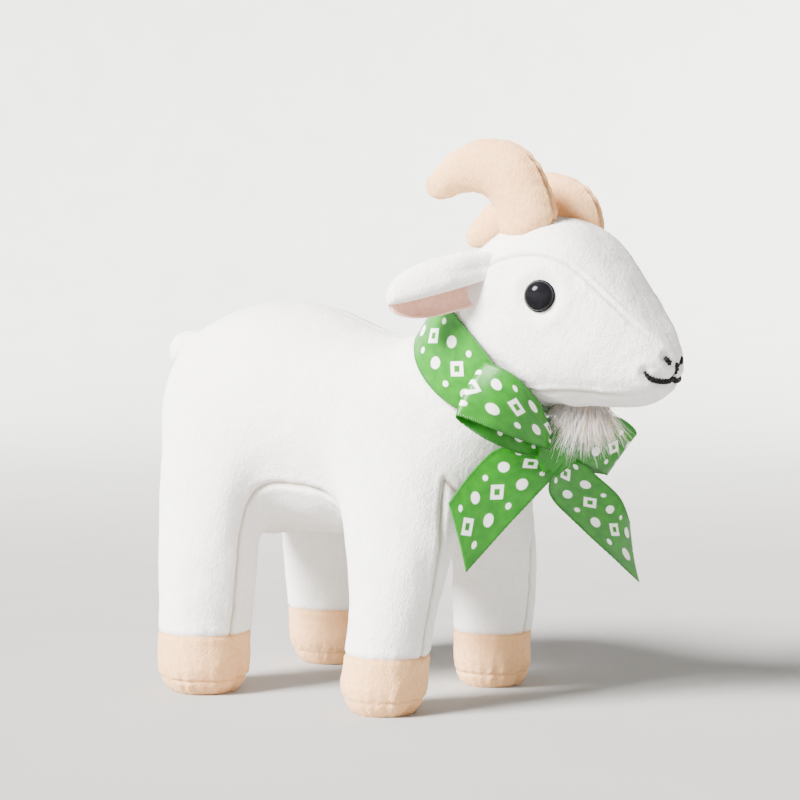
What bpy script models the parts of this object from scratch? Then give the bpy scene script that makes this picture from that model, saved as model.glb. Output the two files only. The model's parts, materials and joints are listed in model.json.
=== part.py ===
"""Plush toy goat with a satin bow, as a sewn assembly: fabric panels over stuffing, hooves, horns, ears,
eyes, tail, beard, embroidery and ribbon.  Metres, +Z up, the nose towards -Y and the goat's left side at +X.

The numbers below are millimetres.  A place is written (x, forward, up): x across the goat, forward from the
middle of its four hooves towards the nose, and up from the surface that it stands on.
"""
import bpy
import bmesh
from math import cos, sin, pi, radians, sqrt
from mathutils import Vector, Matrix
from mathutils.bvhtree import BVHTree

MM = 0.001

# Driving dimensions, in millimetres
BOX_CENTRE_FORWARD = 19.03    # the bounding box's middle, ahead of the middle of the hooves
FABRIC = 1.2                  # plush cloth with its pile pressed flat
SEAM_GAP = 0.3                # clearance between neighbouring pieces
SEAM_INSET = 0.4               # a panel's edge draws back this far from its seam line
REAR_HOOF_SEAM = 15.0         # rings of the leg cage; the seam rises about 3 mm when it is rounded
FRONT_HOOF_SEAM = 12.5
SOLE_RING_HEIGHT = 4.5        # where the gathered sole is sewn to the hoof
REAR_HOOF = (31.0, -32.5)     # x and forward of the rear hooves
FRONT_HOOF = (27.5, 31.0)
REAR_LEG_RADIUS = 13.6
FRONT_LEG_RADIUS = 11.9
NECK_CENTRE = (0.0, 50.9, 98.2)
NECK_AXIS = (0.0, 0.68, 0.73)  # from the shoulders towards the head
NECK_BALL_RADIUS = 19.2
EYE_RADIUS = 4.5
EYE_PLACE = (19.5, 78.0, 116.5)
RIBBON_WIDTH = 20.0
RIBBON_THICKNESS = 0.6

# A ring of points shrinks when it is subdivided, so it starts this much larger.
ROUND_12 = 1.047
ROUND_8 = 1.108

# Back, belly and half width of the torso's rings from the rump to the neck: (forward, up), (forward, up), x
TORSO_RINGS = (
    ((-57.5, 102.0), (-55.0, 62.0), 23.0),
    ((-48.0, 111.5), (-47.5, 48.5), 33.5),
    ((-32.5, 115.8), (-32.5, 42.8), 35.5),
    ((-17.0, 116.0), (-17.0, 46.0), 34.0),
    ((0.0, 110.5), (0.0, 46.0), 32.0),
    ((12.0, 106.5), (16.0, 46.0), 31.0),
    ((19.0, 105.0), (34.0, 47.5), 29.5),
    ((25.0, 105.0), (55.5, 56.5), 25.5),
    ((27.5, 106.0), (59.5, 69.0), 20.8),
    ((32.6, 108.0), (61.4, 80.5), 18.9),
    ((38.0, 110.6), (63.9, 86.0), 18.0),
    ((45.5, 117.0), (69.0, 92.5), 17.5),
)
RUMP_POINT = (0.0, -60.5, 82.0)
NECK_END_POINT = (0.0, 59.0, 106.5)

# The same for the head, from the neck seam to the muzzle
HEAD_RINGS = (
    ((38.0, 110.6), (63.9, 86.0), 18.0),
    ((42.0, 119.0), (67.5, 85.0), 19.8),
    ((49.0, 129.5), (72.5, 85.5), 21.0),
    ((61.0, 137.5), (79.0, 85.5), 22.0),
    ((74.0, 139.3), (85.5, 85.0), 21.3),
    ((84.5, 135.5), (92.0, 85.0), 18.6),
    ((93.0, 124.0), (98.5, 85.5), 15.2),
    ((101.0, 113.0), (104.0, 88.0), 11.5),
    ((106.9, 105.3), (106.9, 92.0), 8.2),
)
HEAD_BACK_POINT = (0.0, 50.9, 98.2)
NOSE_POINT = (0.0, 110.7, 98.3)
CHIN_SEAM_ANGLE = 48.0         # how far below the cheek's middle the chin seam runs
SKULL_SQUARENESS = 0.68       # under 1 makes the upper half of the head fuller than an ellipse

# Rings of a leg below the torso: height, radius as a share of the leg's, and x and forward offsets
REAR_LEG_LEVELS = ((38.0, 1.13, -2.0, 0.0), (REAR_HOOF_SEAM, 1.0, 0.0, 0.0), (9.0, 1.05, 0.3, 0.4),
                   (SOLE_RING_HEIGHT, 0.98, 0.3, 0.4), (-1.6, 0.72, 0.0, 0.3))
FRONT_LEG_LEVELS = ((41.0, 1.10, -2.6, 4.4), (FRONT_HOOF_SEAM, 0.98, -0.4, 0.6), (8.5, 1.03, 0.2, 0.4),
                    (SOLE_RING_HEIGHT, 0.97, 0.2, 0.4), (-1.6, 0.72, 0.0, 0.2))

# Spine of each horn from its root, with its radius: x outward, forward, up, radius.  The left one sits lower.
HORN_SPINES = {
    "right": ((10.3, 68.5, 127.5, 9.0), (10.5, 68.5, 137.0, 8.9), (11.0, 66.1, 146.5, 9.2),
              (12.2, 60.2, 152.6, 9.0), (13.5, 52.9, 152.9, 7.1), (14.7, 45.6, 150.3, 5.4),
              (16.0, 39.9, 145.9, 3.5)),
    "left": ((10.3, 71.2, 127.0, 9.0), (10.5, 71.6, 136.0, 9.0), (10.8, 68.9, 142.4, 9.0),
             (11.0, 61.2, 144.6, 8.5), (10.7, 52.2, 142.3, 7.1), (10.2, 43.3, 137.6, 5.4),
             (9.8, 36.1, 133.2, 3.5)),
}
HORN_FLATNESS = 0.76          # thickness across the goat as a share of its depth

# An ear is a leaf folded over its top edge: semi axes of the fold's section, and the angles that it spans
EAR_ROOT = (21.3, 57.3, 121.0)
EAR_TIP_WAY = (15.0, -17.5, -6.5)
EAR_FACING = (0.77, 0.64, 0.0)
EAR_LENGTH = 24.5
EAR_HALF_HEIGHT = 8.4
EAR_DEPTH_SHARE = 0.62
EAR_LAYER = 0.9
EAR_LOWER_ANGLE = -80.0
EAR_UPPER_ANGLE = 188.0
EAR_STATIONS = 8
EAR_STEPS = 10
EAR_STANDOFF = 1.2            # room for the ear's root to turn over its stitches

TAIL_ROOT = (0.0, -57.5, 102.6)
TAIL_TIP_WAY = (0.0, -0.95, -0.27)
TAIL_SECTIONS = ((0.0, 2.6), (3.0, 5.0), (8.0, 6.0), (12.0, 5.4), (15.0, 3.2))  # along the tail, radius

EYE_SHANK = 1.3
WASHER_RADIUS = 6.0
EYE_STANDOFF = 0.35
WASHER_DEPTH = 2.7
WASHER_THICKNESS = 1.4
SHANK_DEPTH = 6.5
TURNED_STEPS = 16

THREAD_RADIUS = 0.7
# Guides of the embroidery, laid onto the muzzle from in front: (x, forward, up)
NOSTRIL_GUIDE = ((5.2, 109.5, 100.4), (3.4, 110.5, 98.4))
LIP_GUIDE = ((0.0, 112.0, 98.0), (0.0, 111.5, 95.6))
MOUTH_GUIDE = ((9.4, 104.2, 96.4), (8.6, 105.4, 94.6), (6.4, 108.0, 93.0), (3.0, 109.5, 92.5),
               (0.0, 110.5, 92.9))

BEARD_SECTIONS = ((0.0, 80.0, 87.5, 3.8, 6.4), (0.0, 80.0, 81.0, 4.0, 5.8), (0.0, 79.2, 76.0, 3.3, 4.4),
                  (0.0, 77.4, 71.5, 1.8, 2.2))   # x, forward, up, half width, half length

KNOT_CENTRE = (0.0, 67.5, 76.4)
KNOT_SIZE = (6.2, 4.4, 6.6)          # half sizes: across, out of the throat, along the neck
# Each ribbon piece is a strip between two edges: pairs of (x, forward, up) on its upper and lower edge.
RIBBON_LOOP_RIGHT = (
    ((-6.5, 71.5, 82.0), (-3.0, 71.8, 74.5)), ((-13.5, 73.3, 88.0), (-8.0, 72.6, 75.4)),
    ((-19.8, 71.0, 94.2), (-16.0, 70.8, 77.6)), ((-22.0, 67.0, 97.2), (-24.5, 66.4, 80.6)),
    ((-22.4, 63.2, 98.4), (-29.6, 60.6, 83.6)), ((-21.8, 61.6, 98.5), (-31.0, 58.4, 84.2)),
    ((-21.9, 63.0, 97.3), (-29.0, 58.9, 82.2)), ((-20.3, 67.0, 93.3), (-23.0, 63.4, 77.4)),
    ((-13.4, 70.9, 86.0), (-13.2, 67.4, 74.2)), ((-6.5, 70.2, 81.5), (-5.5, 69.0, 73.6)),
)
RIBBON_LOOP_LEFT = (
    ((6.5, 71.5, 82.0), (3.2, 71.6, 74.2)), ((11.0, 76.4, 83.0), (8.6, 73.2, 70.6)),
    ((17.5, 80.6, 82.6), (17.0, 73.4, 67.6)), ((23.2, 82.6, 79.4), (25.0, 72.3, 65.4)),
    ((25.4, 82.0, 77.2), (28.4, 70.6, 65.2)), ((24.4, 80.2, 77.6), (27.0, 69.2, 65.4)),
    ((17.0, 77.2, 80.4), (18.0, 69.3, 67.0)), ((10.5, 73.4, 81.0), (9.8, 69.0, 71.0)),
    ((6.5, 70.2, 80.6), (5.2, 68.4, 73.2)),
)
RIBBON_TAIL_RIGHT = (
    ((-6.4, 66.6, 74.4), (-0.8, 71.4, 68.8)), ((-11.0, 64.6, 75.4), (-2.2, 71.0, 66.0)),
    ((-16.5, 60.9, 74.0), (-6.5, 69.6, 62.4)), ((-23.0, 57.2, 67.5), (-15.5, 64.2, 52.8)),
    ((-29.0, 54.6, 60.2), (-26.0, 58.4, 41.3)),
)
RIBBON_TAIL_LEFT = (
    ((7.2, 71.2, 72.6), (1.6, 70.8, 68.6)), ((10.8, 71.9, 71.0), (2.0, 69.8, 65.4)),
    ((16.0, 74.4, 66.0), (3.8, 68.8, 61.0)), ((24.0, 77.5, 59.3), (11.6, 71.2, 51.8)),
    ((31.0, 77.0, 51.5), (33.0, 79.0, 34.0)),
)
BAND_GATHER = 0.7             # how far the band's width is drawn together at the throat
BAND_NAPE_GATHER = 0.4        # and how far its lower edge is drawn up at the nape
BAND_STANDOFF = 0.9           # from the cloth to the middle of the band's thickness

COLOURS = {
    "white_plush": (0.90, 0.88, 0.85, 0.9),
    "peach_plush": (0.86, 0.70, 0.55, 0.9),
    "pink_plush": (0.90, 0.62, 0.54, 0.9),
    "stuffing": (0.92, 0.92, 0.90, 1.0),
    "black_gloss": (0.01, 0.01, 0.012, 0.12),
    "clear_washer": (0.75, 0.77, 0.78, 0.4),
    "black_thread": (0.02, 0.02, 0.02, 0.7),
    "beard_hair": (0.78, 0.76, 0.73, 0.8),
    "green_satin": (0.10, 0.42, 0.06, 0.35),
}


def place(x, forward, up):
    """Turn a place on the goat, in millimetres, into a world position in metres."""
    return Vector((x, BOX_CENTRE_FORWARD - forward, up)) * MM


def heading(x, forward, up):
    """Turn a direction on the goat into a unit world vector."""
    return Vector((x, -forward, up)).normalized()


def clear_scene():
    for leftover in list(bpy.data.objects):
        bpy.data.objects.remove(leftover, do_unlink=True)


def make_collection(name):
    collection = bpy.data.collections.new(name)
    bpy.context.scene.collection.children.link(collection)
    return collection


def make_materials():
    materials = {}
    for name, (red, green, blue, roughness) in COLOURS.items():
        material = bpy.data.materials.new(name)
        material.use_nodes = True
        shader = material.node_tree.nodes["Principled BSDF"]
        shader.inputs["Base Color"].default_value = (red, green, blue, 1.0)
        shader.inputs["Roughness"].default_value = roughness
        shader.inputs["Metallic"].default_value = 0.0
        materials[name] = material
    return materials


clear_scene()
PARTS = make_collection("plush_goat")
CUTTERS = make_collection("cutters")
MATERIALS = make_materials()


def add_object(name, points, faces, material, collection=None, smooth=True):
    """Make one object from points and faces, with its faces turned outwards."""
    builder = bmesh.new()
    corners = [builder.verts.new(point) for point in points]
    for face in faces:
        builder.faces.new([corners[index] for index in face])
    bmesh.ops.recalc_face_normals(builder, faces=builder.faces)
    mesh = bpy.data.meshes.new(name)
    builder.to_mesh(mesh)
    builder.free()
    mesh.materials.append(MATERIALS[material])
    if smooth:
        mesh.shade_smooth()
    piece = bpy.data.objects.new(name, mesh)
    (collection or PARTS).objects.link(piece)
    return piece


def add_cutter(name, points, faces):
    cutter = add_object(name, points, faces, "stuffing", CUTTERS)
    hide_cutter(cutter)
    return cutter


def hide_cutter(cutter):
    cutter.hide_render = True
    cutter.display_type = "WIRE"


def cut(piece, cutter):
    """Take the cutter's volume away from a piece."""
    boolean = piece.modifiers.new("cut by " + cutter.name, "BOOLEAN")
    boolean.operation = "DIFFERENCE"
    boolean.object = cutter
    boolean.solver = "EXACT"


def add_ball(name, centre, radius, segments=32, rings=20):
    builder = bmesh.new()
    bmesh.ops.create_uvsphere(builder, u_segments=segments, v_segments=rings, radius=radius * MM)
    mesh = bpy.data.meshes.new(name)
    builder.to_mesh(mesh)
    builder.free()
    ball = bpy.data.objects.new(name, mesh)
    ball.location = centre
    CUTTERS.objects.link(ball)
    hide_cutter(ball)
    return ball


def add_box_cutter(name, centre, axis, depth):
    """Make a large box whose one face lies on a plane through centre, reaching along axis."""
    builder = bmesh.new()
    bmesh.ops.create_cube(builder, size=1.0)
    turn = axis.to_track_quat("Z", "Y").to_matrix().to_4x4()
    stretch = Matrix.Diagonal((depth * MM, depth * MM, depth * MM, 1.0))
    lift = Matrix.Translation((0.0, 0.0, 0.5 * depth * MM))
    bmesh.ops.transform(builder, matrix=Matrix.Translation(centre) @ turn @ lift @ stretch, verts=builder.verts)
    mesh = bpy.data.meshes.new(name)
    builder.to_mesh(mesh)
    builder.free()
    box = bpy.data.objects.new(name, mesh)
    CUTTERS.objects.link(box)
    hide_cutter(box)
    return box


# ---------------------------------------------------------------- cages and the panels cut from them

class Cage:
    """A coarse closed surface whose faces carry the name of the panel that they belong to."""

    def __init__(self):
        self.points = []
        self.faces = []
        self.tags = []

    def ring(self, points):
        first = len(self.points)
        self.points.extend(points)
        return list(range(first, len(self.points)))

    def face(self, corners, tag):
        self.faces.append(tuple(corners))
        self.tags.append(tag)

    def bridge(self, lower, upper, tag_of_side):
        count = len(lower)
        for side in range(count):
            after = (side + 1) % count
            self.face((lower[side], lower[after], upper[after], upper[side]), tag_of_side(side))

    def close(self, ring, middle, tag_of_side):
        """Close a ring of an even number of points with quads that meet at a middle point."""
        hub = self.ring([middle])[0]
        count = len(ring)
        for side in range(0, count, 2):
            corners = (hub, ring[side], ring[side + 1], ring[(side + 2) % count])
            self.face(corners, tag_of_side(side))


class Skin:
    """The subdivided surface of a cage: points, normals and faces by panel."""

    def __init__(self, cage, levels):
        names = sorted(set(cage.tags))
        builder = bmesh.new()
        corners = [builder.verts.new(point) for point in cage.points]
        for face, tag in zip(cage.faces, cage.tags):
            builder.faces.new([corners[index] for index in face]).material_index = names.index(tag)
        bmesh.ops.recalc_face_normals(builder, faces=builder.faces)
        mesh = bpy.data.meshes.new("cage")
        builder.to_mesh(mesh)
        builder.free()
        for name in names:
            mesh.materials.append(None)
        guide = bpy.data.objects.new("cage", mesh)
        CUTTERS.objects.link(guide)
        subdivision = guide.modifiers.new("subdivision", "SUBSURF")
        subdivision.levels = levels
        subdivision.render_levels = levels
        bpy.context.view_layer.update()
        fine = bpy.data.meshes.new_from_object(guide.evaluated_get(bpy.context.evaluated_depsgraph_get()))
        splitter = bmesh.new()
        splitter.from_mesh(fine)
        bmesh.ops.triangulate(splitter, faces=splitter.faces, quad_method="FIXED")
        splitter.to_mesh(fine)
        splitter.free()
        for vertex in fine.vertices:
            vertex.co.z = max(vertex.co.z, 0.0)
        fine.update()
        self.points = [vertex.co.copy() for vertex in fine.vertices]
        self.normals = [vertex.normal.copy() for vertex in fine.vertices]
        self.faces = [tuple(polygon.vertices) for polygon in fine.polygons]
        self.tags = [names[polygon.material_index] for polygon in fine.polygons]
        bpy.data.objects.remove(guide, do_unlink=True)
        bpy.data.meshes.remove(fine)

    def offset(self, distance):
        return [point + normal * distance * MM for point, normal in zip(self.points, self.normals)]

    def tree(self, distance=0.0):
        return BVHTree.FromPolygons(self.offset(distance), self.faces)


def add_panel(name, skin, tags, material, thickness=FABRIC):
    """Cut one fabric panel out of a skin, with half a seam gap all round its edge."""
    faces = [face for face, tag in zip(skin.faces, skin.tags) if tag in tags]
    uses = {}
    for face in faces:
        for start, end in zip(face, face[1:] + face[:1]):
            key = (min(start, end), max(start, end))
            uses.setdefault(key, []).append((start, end))
    rim = [found[0] for found in uses.values() if len(found) == 1]
    rim_points = {index for edge in rim for index in edge}
    middles = {}
    beyond = {}
    for face, tag in zip(skin.faces, skin.tags):
        middle = sum((skin.points[index] for index in face), Vector()) / len(face)
        for index in face:
            (middles if tag in tags else beyond).setdefault(index, []).append(middle)
    order = sorted(middles)
    local = {index: number for number, index in enumerate(order)}
    outer = []
    inner = []
    for index in order:
        point = skin.points[index].copy()
        if index in rim_points:
            inwards = sum(middles[index], Vector()) / len(middles[index])
            inwards -= sum(beyond[index], Vector()) / len(beyond[index])
            inwards -= inwards.project(skin.normals[index])
            point += inwards.normalized() * SEAM_INSET * MM
        outer.append(point)
        inner.append(point - skin.normals[index] * thickness * MM)
    count = len(order)
    shell = [tuple(local[index] for index in face) for face in faces]
    shell += [tuple(local[index] + count for index in reversed(face)) for face in faces]
    for start, end in rim:
        far, near = local[end], local[start]
        if start < end:   # neighbouring panels split the wall between them along the same diagonal
            shell += [(far, near, far + count), (near, near + count, far + count)]
        else:
            shell += [(far, near, near + count), (far, near + count, far + count)]
    return add_object(name, outer + inner, shell, material)


def full(value, power):
    """Raise a sine or cosine to a power and keep its sign."""
    return abs(value) ** power * (1 if value >= 0.0 else -1)


def oval_ring(back, belly, half_width, squareness=1.0, low_corner=60.0):
    """Twelve points round the goat between a point on its back and one on its belly."""
    middle = ((back[0] + belly[0]) / 2, (back[1] + belly[1]) / 2)
    reach = ((back[0] - belly[0]) / 2, (back[1] - belly[1]) / 2)
    points = []
    for step in range(12):
        angle = radians(-low_corner if step == 5 else low_corner - 180.0 if step == 7 else 90 - 30 * step)
        power = squareness if sin(angle) > 0.01 else 1.0
        up = full(sin(angle), power) * ROUND_12
        out = full(cos(angle), power) * ROUND_12
        points.append(place(half_width * out, middle[0] + reach[0] * up, middle[1] + reach[1] * up))
    return points


def leg_ring(sign, centre_x, forward, up, radius, turns):
    """Eight points round a leg, starting behind its outer side and running forward."""
    points = []
    for turn in turns:
        angle = radians(turn)
        out = centre_x + radius * ROUND_8 * cos(angle)
        points.append(place(sign * out, forward + radius * ROUND_8 * sin(angle), up))
    return points


# Where the points of a leg's ring stand, in degrees from its outer side; its front seam is at the fourth.
REAR_RING_TURNS = (-45, 0, 38, 72, 125, 180, 225, 270)
FRONT_RING_TURNS = (-45, 0, 45, 90, 135, 180, 225, 270)

LEGS = {
    "rear_left": (1, 1, REAR_HOOF, REAR_LEG_RADIUS, REAR_LEG_LEVELS),
    "rear_right": (-1, 1, REAR_HOOF, REAR_LEG_RADIUS, REAR_LEG_LEVELS),
    "front_left": (1, 5, FRONT_HOOF, FRONT_LEG_RADIUS, FRONT_LEG_LEVELS),
    "front_right": (-1, 5, FRONT_HOOF, FRONT_LEG_RADIUS, FRONT_LEG_LEVELS),
}


def side_name(side):
    return "side_left" if side < 6 else "side_right"


def body_cage():
    """The torso with its legs and neck, marked with the sides, the belly gusset, the hooves and the soles."""
    cage = Cage()
    rings = [cage.ring(oval_ring(*ring)) for ring in TORSO_RINGS]
    holes = set()
    for sign, first, hoof, radius, levels in LEGS.values():
        sides = (3, 4) if sign > 0 else (7, 8)
        holes.update((station, side) for station in (first, first + 1) for side in sides)
    gusset_sides = (4, 5, 6, 7)
    for station in range(len(rings) - 1):
        for side in range(12):
            if (station, side) in holes:
                continue
            after = (side + 1) % 12
            tag = "gusset" if 1 <= station < 7 and side in gusset_sides else side_name(side)
            corners = (rings[station][side], rings[station][after],
                       rings[station + 1][after], rings[station + 1][side])
            cage.face(corners, tag)
    cage.close(rings[0], place(*RUMP_POINT), side_name)
    cage.close(rings[-1], place(*NECK_END_POINT), lambda side: "neck_end")
    for name, (sign, first, hoof, radius, levels) in LEGS.items():
        outer, middle, inner = (3, 4, 5) if sign > 0 else (9, 8, 7)
        turns = REAR_RING_TURNS if first == 1 else FRONT_RING_TURNS
        top = [rings[first][outer], rings[first + 1][outer], rings[first + 2][outer],
               rings[first + 2][middle], rings[first + 2][inner], rings[first + 1][inner],
               rings[first][inner], rings[first][middle]]
        outside = "side_left" if sign > 0 else "side_right"
        for level, (up, share, shift_x, shift_forward) in enumerate(levels):
            centre_x, forward = hoof[0] + shift_x, hoof[1] + shift_forward
            ring = cage.ring(leg_ring(sign, centre_x, forward, up, radius * share, turns))
            if level < 2:
                cage.bridge(top, ring, lambda side: outside if side in (7, 0, 1, 2) else "gusset")
            elif level < 4:
                cage.bridge(top, ring, lambda side: "hoof_" + name)
            else:
                cage.bridge(top, ring, lambda side: "sole_" + name)
            top = ring
        centre = sum((cage.points[index] for index in top), Vector()) / len(top)
        cage.close(top, centre, lambda side: "sole_" + name)
    return cage


def head_cage():
    """The head, marked with its two sides, the forehead gusset and the chin gusset."""
    cage = Cage()
    rings = [cage.ring(oval_ring(*ring, SKULL_SQUARENESS, CHIN_SEAM_ANGLE)) for ring in HEAD_RINGS]

    def tag_at(station):
        def tag(side):
            if side in (10, 11, 0, 1) and station >= 1:
                return "forehead"
            if side in (5, 6) and station >= 1:
                return "chin"
            return side_name(side)
        return tag

    for station in range(len(rings) - 1):
        cage.bridge(rings[station], rings[station + 1], tag_at(station))
    cage.close(rings[0], place(*HEAD_BACK_POINT), lambda side: "neck_end")
    cage.close(rings[-1], place(*NOSE_POINT), side_name)
    return cage


BODY = Skin(body_cage(), 1)
HEAD = Skin(head_cage(), 1)
BODY_FORM = add_cutter("body_form", BODY.offset(SEAM_GAP), BODY.faces)
HEAD_FORM = add_cutter("head_form", HEAD.offset(SEAM_GAP), HEAD.faces)
EAR_CLEARANCE = add_cutter("ear_clearance", HEAD.offset(EAR_STANDOFF), HEAD.faces)
NECK_JOINT = place(*NECK_CENTRE)
NECK_LINE = heading(*NECK_AXIS)
STUFFING_DEPTH = -(FABRIC + SEAM_GAP + 0.1)
SIDES = {"left": 1, "right": -1}


def make_body():
    """Side panels, belly gusset, hooves, soles and stuffing, cut to a ball at the top of the neck."""
    ahead = add_box_cutter("ahead_of_neck", NECK_JOINT, NECK_LINE, 130.0)
    cut(ahead, add_ball("neck_ball", NECK_JOINT, NECK_BALL_RADIUS))
    stuffing = add_object("body_stuffing", BODY.offset(STUFFING_DEPTH), BODY.faces, "stuffing")
    left = add_panel("body_side_left", BODY, ("side_left",), "white_plush")
    right = add_panel("body_side_right", BODY, ("side_right",), "white_plush")
    add_panel("belly_gusset", BODY, ("gusset",), "white_plush")
    for piece in (stuffing, left, right):
        cut(piece, ahead)
    for name in LEGS:
        add_panel("hoof_cover_" + name, BODY, ("hoof_" + name,), "peach_plush")
        add_panel("hoof_sole_" + name, BODY, ("sole_" + name,), "peach_plush")


def make_head():
    """Head panels and stuffing, hollowed where they sit over the neck's ball."""
    socket = add_ball("neck_socket", NECK_JOINT, NECK_BALL_RADIUS + SEAM_GAP + 0.1)
    behind = add_box_cutter("behind_neck", NECK_JOINT, -NECK_LINE, 130.0)
    pieces = {
        "stuffing": add_object("head_stuffing", HEAD.offset(STUFFING_DEPTH), HEAD.faces, "stuffing"),
        "left": add_panel("head_side_left", HEAD, ("side_left",), "white_plush"),
        "right": add_panel("head_side_right", HEAD, ("side_right",), "white_plush"),
        "chin": add_panel("chin_gusset", HEAD, ("chin",), "white_plush"),
    }
    add_panel("forehead_gusset", HEAD, ("forehead",), "white_plush")
    for piece in pieces.values():
        cut(piece, socket)
        cut(piece, behind)
    return pieces


# ---------------------------------------------------------------- horns, ears, eyes, tail, beard, stitches

def tube_frame(points, index, side_way):
    """Direction of a spine at one of its points, and the two directions across it."""
    before = points[max(index - 1, 0)]
    after = points[min(index + 1, len(points) - 1)]
    along = (after - before).normalized()
    across = (side_way - side_way.project(along)).normalized()
    return along, across, along.cross(across)


def horn_cage(sign, spine):
    """A curved tapering horn in two halves that are joined along its front and its hollow side."""
    cage = Cage()
    points = [place(sign * x, forward, up) for x, forward, up, radius in spine]
    ring = None
    for index, (x, forward, up, radius) in enumerate(spine):
        along, across, convex = tube_frame(points, index, Vector((sign, 0.0, 0.0)))
        turn = [radians(45 * step) for step in range(8)]
        loop = cage.ring([points[index] + (convex * cos(a) + across * sin(a) * HORN_FLATNESS) * radius * ROUND_8 * MM
                          for a in turn])
        if ring:
            cage.bridge(ring, loop, lambda side: "outer" if side < 4 else "inner")
        else:
            cage.close(loop, points[0], lambda side: "root")
        ring = loop
    along = (points[-1] - points[-2]).normalized()
    cage.close(ring, points[-1] + along * 2.2 * MM, lambda side: "outer" if side < 4 else "inner")
    return cage


def make_horn(name):
    sign = SIDES[name]
    skin = Skin(horn_cage(sign, HORN_SPINES[name]), 1)
    for half in ("outer", "inner"):
        cut(add_panel("horn_%s_%s_half" % (name, half), skin, (half,), "peach_plush"), HEAD_FORM)
    stuffing = add_object("horn_%s_stuffing" % name, skin.offset(STUFFING_DEPTH), skin.faces, "stuffing")
    cut(stuffing, HEAD_FORM)


def ear_point(sign, station, step, depth):
    """A point of the folded leaf: station along it, step round its fold, depth in from its outer face."""
    along = heading(sign * EAR_TIP_WAY[0], *EAR_TIP_WAY[1:])
    facing = heading(sign * EAR_FACING[0], *EAR_FACING[1:])
    facing = (facing - facing.project(along)).normalized()
    above = along.cross(facing)
    if above.z < 0.0:
        above = -above
    share = station / (EAR_STATIONS - 1)
    reach = -0.12 + 1.12 * share
    rounding = sqrt(max(1.0 - max(share, 0.0) ** 3.2, 0.05))
    half_height = EAR_HALF_HEIGHT * (0.94 + 0.14 * share) * rounding
    angle = radians(EAR_LOWER_ANGLE + (EAR_UPPER_ANGLE - EAR_LOWER_ANGLE) * step / (EAR_STEPS - 1))
    thin = min(1.0, half_height / 5.0)
    rise = (half_height - depth * thin) * sin(angle)
    front = -(half_height * EAR_DEPTH_SHARE - depth * thin) * cos(angle)
    centre = place(sign * EAR_ROOT[0], *EAR_ROOT[1:])
    return centre + (along * EAR_LENGTH * reach + above * rise + facing * front) * MM


def ear_layer(name, sign, outer_depth, inner_depth, material):
    """One of an ear's two layers of cloth, as a closed folded sheet."""
    points = [ear_point(sign, station, step, depth) for depth in (outer_depth, inner_depth)
              for station in range(EAR_STATIONS) for step in range(EAR_STEPS)]
    layer = EAR_STATIONS * EAR_STEPS

    def at(side, station, step):
        return side * layer + station * EAR_STEPS + step

    faces = []
    for side in (0, 1):
        for station in range(EAR_STATIONS - 1):
            for step in range(EAR_STEPS - 1):
                quad = (at(side, station, step), at(side, station + 1, step),
                        at(side, station + 1, step + 1), at(side, station, step + 1))
                faces.append(quad if side else quad[::-1])
    rim = [(station, 0) for station in range(EAR_STATIONS)]
    rim += [(EAR_STATIONS - 1, step) for step in range(1, EAR_STEPS)]
    rim += [(station, EAR_STEPS - 1) for station in range(EAR_STATIONS - 2, -1, -1)]
    rim += [(0, step) for step in range(EAR_STEPS - 2, 0, -1)]
    for start, end in zip(rim, rim[1:] + rim[:1]):
        faces.append((at(0, *start), at(0, *end), at(1, *end), at(1, *start)))
    return add_object(name, points, faces, material)


def make_ear(name):
    sign = SIDES[name]
    outer = ear_layer("ear_%s_outer" % name, sign, 0.0, EAR_LAYER, "white_plush")
    inner = ear_layer("ear_%s_inner" % name, sign, EAR_LAYER + SEAM_GAP, 2 * EAR_LAYER + SEAM_GAP,
                      "pink_plush")
    for layer in (outer, inner):
        cut(layer, EAR_CLEARANCE)


def add_turned(name, profile, closed, location, way, material, collection=None):
    """Turn a profile of (radius, height) about an axis that points along way."""
    builder = bmesh.new()
    corners = [builder.verts.new((radius * MM, 0.0, height * MM)) for radius, height in profile]
    for start, end in zip(corners, corners[1:]):
        builder.edges.new((start, end))
    if closed:
        builder.edges.new((corners[-1], corners[0]))
    mesh = bpy.data.meshes.new(name)
    builder.to_mesh(mesh)
    builder.free()
    mesh.materials.append(MATERIALS[material])
    piece = bpy.data.objects.new(name, mesh)
    (collection or PARTS).objects.link(piece)
    screw = piece.modifiers.new("turn", "SCREW")
    screw.steps = TURNED_STEPS
    screw.render_steps = TURNED_STEPS
    screw.use_merge_vertices = True
    screw.merge_threshold = 1e-5
    screw.use_smooth_shade = True
    piece.location = location
    piece.rotation_mode = "QUATERNION"
    piece.rotation_quaternion = way.to_track_quat("Z", "Y")
    return piece


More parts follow.
